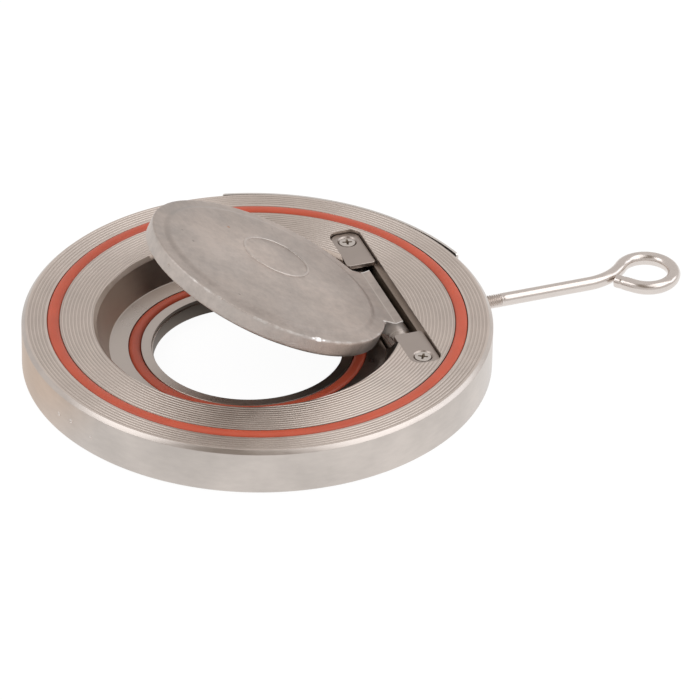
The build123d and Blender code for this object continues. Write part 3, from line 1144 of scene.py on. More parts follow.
# ---- sub-assemblies ----
@dataclass
class BodyRing:
    """The thin ring: serrated faces, O-ring grooves, off-centre bore and recess, hinge pocket and slot.

    The depths of pocket and recess are from the outlet face. A hole is its cutter's radius and length, and
    a band of serrations its first radius and how many grooves it has.
    """

    radius: float = 82.0 * MM
    half_height: float = 8.5 * MM
    blank_bore: float = 20.0 * MM
    outlet_chamfer: float = 1.3 * MM
    inlet_chamfer: float = 0.7 * MM
    edge_break: float = 0.12 * MM
    flow_x: float = -3.5 * MM
    throat_radius: float = 33.0 * MM
    inlet_break: float = 0.2 * MM
    lead_step: float = 0.5 * MM
    lead_depth: float = 1.4 * MM
    floor_radius: float = 48.3 * MM
    recess_taper: float = 4.2 * MM
    recess_depth: float = 10.6 * MM
    recess_chamfer: float = 1.3 * MM
    groove_width: float = 4.35 * MM
    groove_depth: float = 3.4 * MM
    flange_groove_radius: float = 70.95 * MM
    seat_groove_radius: float = 39.375 * MM
    pocket_x: float = 47.05 * MM
    pocket_half: Span = (5.65 * MM, 44.2 * MM)
    pocket_depth: float = 2.9 * MM
    pocket_corner: float = 4.0 * MM
    hinge_x: float = 46.5 * MM
    slot_half: Span = (5.0 * MM, 33.8 * MM)
    slot_floor: float = -5.0 * MM
    slot_chamfer: float = 0.5 * MM
    slot_corner: float = 1.5 * MM
    slot_break: float = 0.08 * MM
    screw_y: float = 38.5 * MM
    screw_hole: Span = (1.8 * MM, 10.4 * MM)
    eye_hole: Span = (2.5 * MM, 8.4 * MM)
    eye_chamfer: float = 0.7 * MM
    eye_height: float = -2.7 * MM
    serration_pitch: float = 1.235 * MM
    tool_radius: float = 0.45 * MM
    tool_bite: float = 0.19 * MM
    serration_bands: tuple[tuple[float, int], ...] = ((51.1 * MM, 15), (74.56 * MM, 5))
    turned_steps: int = 304
    flow_steps: int = 288
    groove_steps: int = 256
    serration_steps: int = 160
    rim_dents: tuple[Knock, ...] = (
        Knock(bearing=-164.8, out=82.68, height=-0.6, radius=1.1),
        Knock(bearing=-159.9, out=82.68, height=0.2, radius=1.1),
        Knock(bearing=-152.9, out=82.9, height=-1.5, radius=1.1),
    )

    @property
    def land(self) -> float:
        """The height of the seat land."""
        return self.half_height - self.recess_depth

    def build(self, shop: Workshop) -> Piece:
        """Turn the blank and take every cut out of it.

        Args:
            shop: the recipes and the finishes each cut leaves.

        Returns:
            The finished ring.
        """
        finishes = shop.finishes
        outline = rounded(
            (
                (self.blank_bore, -self.half_height),
                (self.radius - self.inlet_chamfer, -self.half_height),
                (self.radius, -self.half_height + self.inlet_chamfer, 0.25 * MM),
                (self.radius, self.half_height - self.outlet_chamfer, 0.25 * MM),
                (self.radius - self.outlet_chamfer, self.half_height, 0.15 * MM),
                (self.blank_bore, self.half_height),
            ),
            steps=3,
        )
        ring = shop.turning.turn("valve_body_ring", outline, finishes.rim, self.turned_steps, closed=True)
        split_lay(ring, finishes.face, finishes.rim)
        flange, face = self.flange_groove_radius, self.half_height
        cutters = [
            self.flow_cutter(shop),
            self.groove(shop, flange, face),
            self.groove(shop, flange, face, side=-1),
            self.groove(shop, self.seat_groove_radius, self.land, axis_x=self.flow_x),
            *self.hinge_cutters(finishes),
            *self.holes(finishes),
            *[paint(dent.ball(), finishes.bar) for dent in self.rim_dents],
        ]
        for side in (1, -1):
            cutters += [self.serration(shop, side, first, count) for first, count in self.serration_bands]
        combine(ring, cutters, "DIFFERENCE")
        shade(ring)
        return ring

    def flow_cutter(self, shop: Workshop) -> Piece:
        """The throat, its lead-in step, the seat land and the tapered recess wall, as one plug.

        Args:
            shop: the recipes and finishes.

        Returns:
            The cutter.
        """
        bore = self.throat_radius
        lead = bore + self.lead_step
        mouth = self.floor_radius + self.recess_taper
        below, above = 1.0 * MM, 0.8 * MM
        outline = rounded(
            (
                (0, -self.half_height - below),
                (bore + self.inlet_break + below, -self.half_height - below),
                (bore, -self.half_height + self.inlet_break),
                (bore, self.land - self.lead_depth, 0.1 * MM),
                (lead, self.land - self.lead_depth, 0.1 * MM),
                (lead, self.land - self.edge_break),
                (lead + self.edge_break, self.land),
                (self.floor_radius, self.land, 0.5 * MM),
                (mouth, self.half_height - self.recess_chamfer, 0.15 * MM),
                (mouth + self.recess_chamfer + above, self.half_height + above),
                (0, self.half_height + above),
            ),
            closed=False,
        )
        return shop.turned_cut(outline, self.flow_steps, self.flow_x, closed=False)

    def groove(self, shop: Workshop, radius: float, face: float, side: int = 1, axis_x: float = 0.0) -> Piece:
        """One O-ring groove with broken edges.

        Args:
            shop: the recipes and finishes.
            radius: the middle of the groove.
            face: how high the face lies above mid-thickness, before the side is applied.
            side: 1 for a groove that opens upwards, -1 for one that opens downwards.
            axis_x: where its axis stands.

        Returns:
            The cutter.
        """
        half = self.groove_width / 2
        flare = self.edge_break
        floor, foot, top = face - self.groove_depth, face - flare, face + 2 * flare
        corner = 0.3 * MM
        outline = rounded(
            (
                (radius - half, side * floor, corner),
                (radius + half, side * floor, corner),
                (radius + half, side * foot),
                (radius + half + 3 * flare, side * top),
                (radius - half - 3 * flare, side * top),
                (radius - half, side * foot),
            )
        )
        return shop.turned_cut(outline, self.groove_steps, axis_x)

    def serration(self, shop: Workshop, side: int, first: float, count: int) -> Piece:
        """One band of serrations on one face.

        Args:
            shop: the recipes and finishes.
            side: 1 for the outlet face, -1 for the inlet face.
            first: the radius of the innermost groove.
            count: how many grooves there are.

        Returns:
            The cutter.
        """
        return shop.serrations.run(
            new_object("serration_cutter", bpy.data.meshes.new("serration_cutter")),
            Grooves=count,
            First_Radius=first,
            Pitch=self.serration_pitch,
            Tool_Radius=self.tool_radius,
            Height=side * (self.half_height + self.tool_radius - self.tool_bite),
            Steps=self.serration_steps,
            Material=shop.finishes.groove,
        )

    def hinge_cutters(self, finishes: Finishes) -> list[Piece]:
        """The pocket that the keepers lie in, and the deeper slot that the trunnions turn in.

        Args:
            finishes: the finishes they leave.

        Returns:
            The two cutters.
        """
        ledge = self.half_height - self.pocket_depth
        above = self.half_height + 0.6 * MM
        past = 0.01 * MM
        corners = [self.pocket_corner] * 4
        levels = (
            (ledge, 0.0),
            (self.half_height - self.edge_break, 0.0),
            (above, above - self.half_height + self.edge_break),
        )
        outlines = [(height, oblong(self.pocket_half, corners, grow)) for height, grow in levels]
        pocket = lofted("pocket_cutter", outlines, (self.pocket_x, 0))
        corners = [self.slot_corner] * 4
        levels = (
            (self.slot_floor, -self.slot_chamfer),
            (self.slot_floor + self.slot_chamfer, 0.0),
            (ledge - self.slot_break, 0.0),
            (ledge + past, self.slot_break + past),
            (above, self.slot_break + past),
        )
        outlines = [(height, oblong(self.slot_half, corners, grow)) for height, grow in levels]
        slot = lofted("slot_cutter", outlines, (self.hinge_x, 0))
        # the slot's walls take the dark steel: painted shade in the deep slot
        return [paint(pocket, finishes.pocket), paint(slot, finishes.grime)]

    def holes(self, finishes: Finishes) -> list[Piece]:
        """The tapped holes for the keeper screws and the eye bolt.

        Args:
            finishes: the finishes they leave.

        Returns:
            The cutters.
        """
        cutters = []
        radius, depth = self.screw_hole
        for side in (-1, 1):
            top = Vector((self.pocket_x, side * self.screw_y, self.half_height))
            cutters.append(rod("screw_hole", top, -UP, ((0, radius), (depth, radius)), 24))
        radius, depth = self.eye_hole
        mouth = Vector((self.radius + 0.5 * MM, 0, self.eye_height))
        sizes = ((0, radius + self.eye_chamfer), (self.eye_chamfer, radius), (depth, radius))
        cutters.append(rod("eye_hole", mouth, Vector((-1, 0, 0)), sizes, 40))
        return [paint(cutter, finishes.recess) for cutter in cutters]


@dataclass
class SealRing:
    """One silicone O-ring, squeezed into its groove and standing a little proud.

    Its section bulges towards a square by one power at its sides, one at its crown and one at its root.
    """

    name: str
    node: str
    slot: str
    radius: float
    mouth: float
    side: int = 1
    axis_x: float = 0.0
    half_width: float = 2.125 * MM
    depth: float = 3.38 * MM
    proud: float = 0.58 * MM
    waist: float = 0.7 * MM
    sway: float = 0.03 * MM
    side_power: float = 2.5
    crown_power: float = 2.0
    root_power: float = 3.2
    flats: int = 28
    steps: int = 288

    def build(self, shop: Workshop) -> Piece:
        """Turn the squeezed section about the groove's axis.

        Args:
            shop: the recipes and finishes.

        Returns:
            The finished ring.
        """
        outline = []
        for cosine, sine in ring_of(1.0, self.flats):
            across = self.bulge(cosine, self.side_power) * self.half_width
            power, reach = self.crown_power, self.proud + self.waist
            if sine <= 0:
                power, reach = self.root_power, self.depth - self.waist
            height = self.bulge(sine, power) * reach - self.waist
            outline.append((self.radius + across, self.side * (self.mouth + height)))
        rubber = shop.finishes.rubber
        ring = shop.turning.turn(self.name, outline, rubber, self.steps, self.axis_x, True, self.sway)
        shade(ring, 60)
        return ring

    @staticmethod
    def bulge(value: float, power: float) -> float:
        """A sine or cosine pushed out towards a square."""
        return math.copysign(abs(value) ** (2 / power), value)


@dataclass
class FlapDisc:
    """The cast flap with its hinge tongue, lip and turned trunnions. It is drawn closed, then opened.

    While it is closed, its origin is the hinge. A place in its section is X and Z from there.
    """

    hinge: Vector
    opening: float
    to_centre: float = 50.0 * MM
    radius: float = 44.5 * MM
    seal_radius: float = 40.775 * MM
    seal_height: float = -1.25 * MM
    seal_skim: float = 0.03 * MM
    under_height: float = 0.37 * MM
    edge_height: float = 6.12 * MM
    border_radius: float = 40.3 * MM
    plateau_radius: float = 38.2 * MM
    plateau_height: float = 7.02 * MM
    rust_place: Span = (-7.7 * MM, 24.8 * MM)
    medal_place: Span = (6.4 * MM, 10.5 * MM)
    medal_radius: float = 12.15 * MM
    medal_cord: float = 0.5 * MM
    medal_wobble: float = 0.04 * MM
    tongue_half_width: float = 17.5 * MM
    tongue_overlap: float = 6.0 * MM
    tongue_under: float = 1.22 * MM
    tongue_chamfer: float = 0.8 * MM
    valley: float = -4.7 * MM
    lip: Span = (-2.4 * MM, 7.97 * MM)
    heel: Span = (-2.6 * MM, 6.77 * MM)
    bright_end: float = 0.65 * MM
    ground_end: float = 0.25 * MM
    trunnion_radius: float = 4.7 * MM
    trunnion_reach: float = 33.0 * MM
    trunnion_root: float = 10.0 * MM
    trunnion_break: float = 0.5 * MM
    voxel: float = 0.45 * MM
    skin_wave: float = 0.12 * MM
    skin_grain: float = 0.04 * MM
    skin_nibble: float = 0.6 * MM
    knocks: tuple[Knock, ...] = (
        Knock(bearing=-89.2, out=45.1, height=7.1, radius=1.6),
        Knock(bearing=-86.6, out=45.2, height=7.6, radius=2.6),
        Knock(bearing=-83.9, out=45.1, height=7.1, radius=1.6),
        Knock(bearing=-135.0, out=44.9, height=6.6, radius=1.1, is_bright=False),
        Knock(bearing=-167.0, out=45.1, height=3.4, radius=0.8, is_bright=False),
        Knock(bearing=135.0, out=35.6, height=7.6, radius=0.7, is_bright=False),
        Knock(bearing=119.0, out=34.8, height=7.6, radius=0.7, is_bright=False),
    )

    def build(self, shop: Workshop) -> Piece:
        """Cast the disc and its tongue, turn its trunnions and seal face, then swing it open.

        Args:
            shop: the recipes, and the finishes of its machined places.

        Returns:
            The finished flap, at its rest opening.
        """
        finishes = shop.finishes
        swing = Matrix.Translation(self.hinge) @ Matrix.Rotation(self.opening, 4, "Y")
        across, along = self.rust_place
        rust = swing @ Vector((across - self.to_centre, along, self.plateau_height))
        middle = swing @ Vector((-self.to_centre, 0, self.plateau_height))
        cast = CastSteel(rust_place=rust, middle=middle).material()
        bare = CastSteel("bare_cast_edge", (0.64, 0.575, 0.53), grain_depth=0.09 * MM).material()
        flap = shop.turning.turn("cast_flap_disc", self.section(), cast, 200, -self.to_centre)
        combine(flap, [paint(self.tongue(), cast), paint(self.trunnion_boss(), cast)], "UNION")
        self.soften(flap)
        self.mark_edges(flap)
        sizes = {"Wave": self.skin_wave, "Grain": self.skin_grain, "Nibble": self.skin_nibble}
        shop.skin.run(flap, **sizes, Seed=4.0, Material=cast)
        self.bare_rim(flap, bare)
        inside = {True: finishes.ground, False: cast}
        dents = [paint(knock.ball(-self.to_centre), inside[knock.is_bright]) for knock in self.knocks]
        combine(flap, dents, "DIFFERENCE")
        combine(flap, [self.lip_bar(finishes, cast)], "UNION")
        cutters = [paint(self.seal_cutter(), finishes.land)]
        cutters += [paint(grinder, finishes.ground) for grinder in self.end_cutters()]
        combine(flap, cutters, "DIFFERENCE")
        combine(flap, [self.medal(shop.turning, bare), *self.trunnions(finishes.screw)], "UNION")
        flap.data.transform(swing)
        shade(flap, 27)
        return flap

    def section(self) -> Profile:
        """Half the disc's section.

        Returns:
            Its points, from the middle of the underside round to the middle of the top.
        """
        return rounded(
            (
                (0, self.seal_height),
                (self.seal_radius, self.seal_height),
                (self.radius, self.under_height, 0.5 * MM),
                (self.radius, self.edge_height, 0.4 * MM),
                (self.border_radius, self.edge_height + 0.1 * MM, 0.8 * MM),
                (self.plateau_radius, self.plateau_height, 0.6 * MM),
                (0, self.plateau_height),
            ),
            closed=False,
        )

    def tongue(self) -> Piece:
        """The tongue that joins the disc to its trunnions.

        Returns:
            The new object.
        """
        half = self.tongue_half_width
        root = -self.to_centre + math.sqrt(self.radius**2 - half**2) - self.tongue_overlap
        outline = [
            (root, self.tongue_under),
            (0, self.tongue_under),
            (0, self.trunnion_radius - self.trunnion_break),
            (self.valley + self.tongue_chamfer, self.edge_height - self.tongue_chamfer),
            (self.valley, self.edge_height),
            (root, self.edge_height),
        ]
        return extruded("tongue", outline, (half, -half))

    def lip_bar(self, finishes: Finishes, cast: Finish) -> Piece:
        """The lip across the tongue's back, bright along its foot and where its ends are ground.

        Args:
            finishes: the finishes of its bright places.
            cast: the finish of the rest.

        Returns:
            The lip, from its foot on the disc down into the trunnions.
        """
        heel = Vector(self.heel)
        lean = math.asin(heel.x / heel.length) + math.acos(self.trunnion_radius / heel.length)
        front = self.valley - 0.45 * MM
        outline = rounded(
            (
                (front, self.edge_height - 1.5 * MM),
                (front, self.edge_height - 0.03 * MM),
                (self.valley + 0.1 * MM, self.edge_height + 0.12 * MM),
                (*self.lip, 0.15 * MM),
                (*self.heel, 0.3 * MM),
                (self.trunnion_radius * math.sin(lean), self.trunnion_radius * math.cos(lean)),
                (0, 0),
            )
        )
        half = self.tongue_half_width
        strip = half - self.bright_end
        lip = extruded("lip", outline, (half, strip, -strip, -half))
        paint(lip, cast, finishes.ground, finishes.land)
        for face in lip.data.polygons:
            is_foot = face.center.x < self.valley and face.normal.z > 0.8
            face.material_index = 1 if abs(face.center.y) > strip else 2 * int(is_foot)
        return lip

    def seal_cutter(self) -> Piece:
        """The skim that faces the underside off flat."""
        faces = [(height, ring_of(60 * MM)) for height in (-9 * MM, self.seal_height + self.seal_skim)]
        return lofted("seal_cutter", faces, (-self.to_centre, 0))

    def end_cutters(self) -> list[Piece]:
        """Two slabs that grind the tongue's ends flat.

        Returns:
            The cutters.
        """
        left, right, low, high = -8.7 * MM, 2.5 * MM, -2 * MM, 9 * MM
        outline = [(left, low), (right, low), (right, high), (left, high)]
        near, far = self.tongue_half_width - self.ground_end, self.tongue_half_width + 2 * MM
        return [extruded("grinder", outline, (side * near, side * far)) for side in (-1, 1)]

    def trunnion_boss(self) -> Piece:
        """The cast root that the trunnions grow out of.

        Returns:
            The new object.
        """
        half = self.tongue_half_width
        sizes = ((0, self.trunnion_radius), (2 * half, self.trunnion_radius))
        return rod("boss", Vector((0, -half, 0)), Vector((0, 1, 0)), sizes, 64)

    def trunnions(self, material: Finish) -> list[Piece]:
        """The turned trunnions, each from inside the tongue to its broken end.

        Args:
            material: their finish.

        Returns:
            The two rods.
        """
        length = self.trunnion_reach - self.trunnion_root
        radius = self.trunnion_radius - 0.01 * MM
        small = self.trunnion_radius - self.trunnion_break
        sizes = ((0, radius), (length - self.trunnion_break, radius), (length, small))
        outward = [Vector((0, side, 0)) for side in (-1, 1)]
        rods = [rod("trunnion", out * self.trunnion_root, out, sizes, 64) for out in outward]
        return [paint(trunnion, material) for trunnion in rods]

    def medal(self, turning: Turning, material: Finish) -> Piece:
        """The round bead that frames the bare medallion.

        Args:
            turning: the recipe that turns profiles.
            material: its finish.

        Returns:
            The bead, on the closed disc.
        """
        across, along = self.medal_place
        widened, sunk = 1.15, 0.1 * MM
        outline = [
            (self.medal_radius + widened * x, self.plateau_height - sunk + z)
            for x, z in ring_of(self.medal_cord, 12)
        ]
        bead = turning.turn("medal", outline, material, 96, closed=True, wobble=self.medal_wobble)
        bead.data.transform(Matrix.Translation((across - self.to_centre, along, 0)))
        return bead

    def soften(self, flap: Piece) -> None:
        """Remake the casting as an even fine mesh with soft edges and filled corners.

        Args:
            flap: the casting.
        """
        remesh = flap.modifiers.new("even", "REMESH")
        remesh.mode = "VOXEL"
        remesh.voxel_size = self.voxel
        smooth = flap.modifiers.new("soft", "SMOOTH")
        smooth.iterations = 1
        smooth.factor = 0.5
        bake(flap)

    def mark_edges(self, flap: Piece) -> None:
        """Write two attributes: edge, how far a point stands out, and wear_highlight, where that is abraded
        bright and carries a painted highlight.

        Args:
            flap: the casting.
        """
        bm = bmesh.new()
        bm.from_mesh(flap.data)
        bm.normal_update()
        around = [[edge.other_vert(vertex) for edge in vertex.link_edges] for vertex in bm.verts]
        steepness, kept, rounds = 3.0, 0.4, 2
        proud = []
        for vertex, others in zip(bm.verts, around):
            turn = sum(other.normal.dot((other.co - vertex.co).normalized()) for other in others)
            proud.append(min(max(turn / len(others) * steepness, 0.0), 1.0))
        for _ in range(rounds):
            near = [sum(proud[other.index] for other in others) / len(others) for others in around]
            proud = [kept * own + (1 - kept) * beside for own, beside in zip(proud, near)]
        places = [vertex.co for vertex in bm.verts]
        wear_highlight = [max(edge * self.wear_highlight_share(place), self.end_line(place)) for edge, place in zip(proud, places)]
        bm.free()
        write_attribute(flap.data, "edge", proud)
        write_attribute(flap.data, "wear_highlight", wear_highlight)

    def wear_highlight_share(self, place: Vector) -> float:
        """How much a place is abraded bright in use and carries a painted highlight: most on the near side of
        the top edge.

        Args:
            place: a point of the closed disc.

        Returns:
            A share from 0 to 1.
        """
        least, band = 0.12, 1.2 * MM
        if place.z < self.edge_height - band:
            return least
        # painted highlight: strongest on the near side, where the top edge catches the light
        near_side, full, fading = -90, 50, 40
        bearing = math.degrees(math.atan2(place.y, place.x + self.to_centre))
        return min(max(1.0 - (abs(bearing - near_side) - full) / fading, least), 1.0)

    def end_line(self, place: Vector) -> float:
        """1 on the bright line where the tongue's top meets its ground ends, and 0 off it."""
        on_top = place.x > self.valley - 5 * MM and place.z > self.edge_height - 0.6 * MM
        return float(on_top and abs(place.y) > self.tongue_half_width - 0.8 * MM)

    def bare_rim(self, flap: Piece, bare: Finish) -> None:
        """Give the disc's rim its barer finish.

        Args:
            flap: the casting.
            bare: that finish.
        """
        flap.data.materials.append(bare)
        for face in flap.data.polygons:
            out = math.hypot(face.center.x + self.to_centre, face.center.y)
            if abs(face.normal.z) < 0.75 and out > self.radius - 0.6 * MM and face.center.x < self.valley:
                face.material_index = 1


@dataclass
class KeeperPlate:
    """A keeper plate that holds one trunnion down, with a countersunk hole."""

    name: str
    node: str
    side: int
    middle_x: float = 47.05 * MM
    inner_y: float = 23.2 * MM
    outer_y: float = 43.85 * MM
    half_width: float = 5.3 * MM
    bottom: float = 5.6 * MM
    top: float = 7.2 * MM
    inner_corner: float = 0.9 * MM
    outer_corner: float = 3.65 * MM
    bottom_break: float = 0.1 * MM
    edge_radius: float = 0.28 * MM
    edge_steps: int = 4
    screw_y: float = 38.5 * MM
    hole_radius: float = 1.8 * MM
    sink_radius: float = 3.48 * MM
    sink_drop: float = 0.08 * MM

    def build(self, shop: Workshop) -> Piece:
        """Make the plate with rounded edges and countersink it.

        Args:
            shop: the recipes and finishes.

        Returns:
            The finished plate.
        """
        material = shop.finishes.keeper
        half = (self.half_width, (self.outer_y - self.inner_y) / 2)
        inner, outer = self.inner_corner, self.outer_corner
        corners = (inner, inner, outer, outer) if self.side > 0 else (outer, outer, inner, inner)
        levels = [(self.bottom, -self.bottom_break), (self.bottom + self.bottom_break, 0.0)]
        for step in range(self.edge_steps + 1):
            turn = math.radians(90 * step / self.edge_steps)
            rise = self.top - self.edge_radius * (1 - math.sin(turn))
            levels.append((rise, -self.edge_radius * (1 - math.cos(turn))))
        outlines = [(height, oblong(half, corners, grow)) for height, grow in levels]
        middle = (self.middle_x, self.side * (self.inner_y + self.outer_y) / 2)
        plate = paint(lofted(self.name, outlines, middle), material)
        above = 1 * MM
        spot = Vector((self.middle_x, self.side * self.screw_y, self.top + above))
        drop = above + self.sink_drop
        sizes = (
            (0, self.sink_radius + drop),
            (drop, self.sink_radius),
            (drop + self.sink_radius - self.hole_radius, self.hole_radius),
            (4 * MM, self.hole_radius),
        )
        combine(plate, [paint(rod("sink", spot, -UP, sizes, 64), material)], "DIFFERENCE")
        shade(plate, 35)
        return plate


@dataclass
class KeeperScrews:
    """The countersunk cross-recess screws, one pattern set out twice.

    Each of cross_levels is a height, how far the recess's arms reach there and half how wide they are.
    """

    middle_x: float = 47.05 * MM
    screw_y: float = 38.5 * MM
    head_height: float = 7.1 * MM
    head_radius: float = 3.12 * MM
    shank_radius: float = 1.75 * MM
    length: float = 8.4 * MM
    tip_chamfer: float = 0.4 * MM
    edge_radius: float = 0.18 * MM
    crown: Span = (0.04 * MM, 0.01 * MM)
    crown_share: float = 0.6
    cross_levels: tuple[tuple[float, float, float], ...] = (
        (-1.55 * MM, 0.3 * MM, 0.1 * MM),
        (-1.3 * MM, 0.95 * MM, 0.26 * MM),
        (-0.06 * MM, 1.75 * MM, 0.38 * MM),
        (0.4 * MM, 2.05 * MM, 0.68 * MM),
    )
    spins: Span = (-30.0, -12.0)

    def build(self, shop: Workshop) -> Piece:
        """Turn one screw, cut its recess and set it out in both keepers.

        Args:
            shop: the recipes and finishes.

        Returns:
            Both screws, as one object.
        """
        material, grime = shop.finishes.screw, shop.finishes.grime
        cone = self.head_radius - self.shank_radius
        outline = rounded(
            (
                (0, -self.length),
                (self.shank_radius - self.tip_chamfer, -self.length),
                (self.shank_radius, -self.length + self.tip_chamfer),
                (self.shank_radius, -cone, 0.3 * MM),
                (self.head_radius, -self.crown[0], self.edge_radius),
                (self.head_radius * self.crown_share, -self.crown[1], 0.3 * MM),
                (0, 0),
            ),
            closed=False,
            steps=3,
        )
        screw = shop.turning.turn("screw", outline, material, 64)
        crosses = [(height, self.cross(reach, half)) for height, reach, half in self.cross_levels]
        # the cross recess takes the dark steel: painted shade in the recess
        combine(screw, [paint(lofted("recess", crosses), grime)], "DIFFERENCE")
        shade(screw, 30)
        places = [
            (Vector((self.middle_x, side * self.screw_y, self.head_height)), UP, math.radians(spin))
            for side, spin in zip((-1, 1), self.spins)
        ]
        screws = shop.fastening.set_out("cross_recess_screws", screw, places, material, grime)
        shade(screws, 30)
        return screws

    @staticmethod
    def cross(reach: float, half: float) -> Profile:
        """A cross-shaped outline with rounded ends and filled inner corners.

        Args:
            reach: how far its arms reach.
            half: half how wide they are.

        Returns:
            The outline's points in order.
        """
        most = (reach - half) * 0.45
        end, fill = min(half * 0.6, most), min(half * 0.9, most)
        corners: list[tuple[float, ...]] = []
        for quarter in range(4):
            cosine = round(math.cos(quarter * math.pi / 2))
            sine = round(math.sin(quarter * math.pi / 2))
            for x, y, radius in ((reach, -half, end), (reach, half, end), (half, half, fill)):
                corners.append((x * cosine - y * sine, x * sine + y * cosine, radius))
        return rounded(corners, steps=3)


@dataclass(frozen=True)
class Bend:
    """One run of a bent bar: its length, and its radius if it is an arc (positive turns left)."""

    length: float
    radius: float = 0.0
    step: float = 1.0 * MM


@dataclass
class EyeBolt:
    """The lifting eye bolt: rolled thread, straight shank, crank and an eye closed on the crank.

    Its hidden end starts at lead_share of its thickness and is full after lead_run. Its tip is drawn down a
    little, pinched where that begins, and rounded over the last crop.
    """

    height: float = -2.7 * MM
    start_x: float = 74.45 * MM
    thread_end_x: float = 91.5 * MM
    bar_radius: float = 2.4 * MM
    thread_pitch: float = 0.8 * MM
    thread_crest: float = 2.46 * MM
    thread_depth: float = 0.46 * MM
    thread_fade: float = 1.2 * MM
    crank_radius: float = 20.0 * MM
    eye_radius: float = 9.75 * MM
    eye_x: float = 146.4 * MM
    eye_close: float = 137.0
    tail: float = 7.5 * MM
    lead_share: float = 0.8
    lead_run: float = 0.4 * MM
    crop: float = 0.4 * MM
    crop_share: float = 0.82
    drawn_run: float = 2.9 * MM
    drawn_share: float = 0.03
    pinch_share: float = 0.05
    pinch_width: float = 0.35 * MM
    flats: int = 28

    def path(self) -> tuple[list[Vector], list[float]]:
        """Walk along the bar's runs, from its hidden end to the tip that closes the eye.

        Returns:
            Points along the bar, and how far along it each one is.
        """
        crank = math.acos(self.crank_radius / (self.crank_radius + self.eye_radius))
        crank_x = self.eye_x - (self.crank_radius + self.eye_radius) * math.sin(crank)
        loop = math.radians(90 + self.eye_close) + crank
        runs = (
            Bend(self.thread_end_x - self.start_x, step=0.1 * MM),
            Bend(crank_x - self.thread_end_x),
            Bend(crank * self.crank_radius, self.crank_radius),
            Bend(loop * self.eye_radius, -self.eye_radius, 0.7 * MM),
            Bend(self.tail, step=0.25 * MM),
        )
        place = Vector((self.start_x, 0, self.height))
        heading = 0.0
        points, travelled = [place.copy()], [0.0]
        for run in runs:
            count = max(round(run.length / run.step), 1)
            ahead = run.length / count
            turn = ahead / run.radius if run.radius else 0.0
            chord = 2 * run.radius * math.sin(turn / 2) if run.radius else ahead
            for _ in range(count):
                heading += turn / 2
                place = place + Vector((math.cos(heading), math.sin(heading), 0)) * chord
                heading += turn / 2
                points.append(place.copy())
                travelled.append(travelled[-1] + ahead)
        return points, travelled

    def thickness(self, run: float, total: float) -> float:
        """How thick the bar is at a place.

        Args:
            run: how far along the bar it is.
            total: the bar's length.

        Returns:
            A share of the bar's full radius.
        """
        left = total - run
        lead = min(1.0, self.lead_share + (1 - self.lead_share) * run / self.lead_run)
        tail = 1.0
        if left <= self.crop:
            round_end = math.sqrt(max(1 - (1 - left / self.crop) ** 2, 0))
            tail = self.crop_share + (1 - self.crop_share) * round_end
        pinch = self.pinch_share * math.exp(-(((left - self.drawn_run) / self.pinch_width) ** 2))
        drawn = self.drawn_share if left < self.drawn_run else 0.0
        return min(lead, tail) - pinch - drawn

    def build(self, shop: Workshop) -> Piece:
        """Sweep the bar along its bent path.

        Args:
            shop: the recipes and finishes.

        Returns:
            The finished bolt.
        """
        points, travelled = self.path()
        threaded_run = self.thread_end_x - self.start_x
        host = polyline("lifting_eye_bolt", points)
        write_attribute(host.data, "thickness", [self.thickness(run, travelled[-1]) for run in travelled])
        depths = [min(max((threaded_run - run) / self.thread_fade, 0.0), 1.0) for run in travelled]
        write_attribute(host.data, "threaded", depths)
        bolt = shop.bar.run(
            host,
            Bar_Radius=self.bar_radius,
            Pitch=self.thread_pitch,
            Thread_Depth=self.thread_depth,
            Thread_Lift=self.thread_crest - self.bar_radius,
            Flats=self.flats,
            Material=shop.finishes.bar,
        )
        shade(bolt, 50)
        return bolt


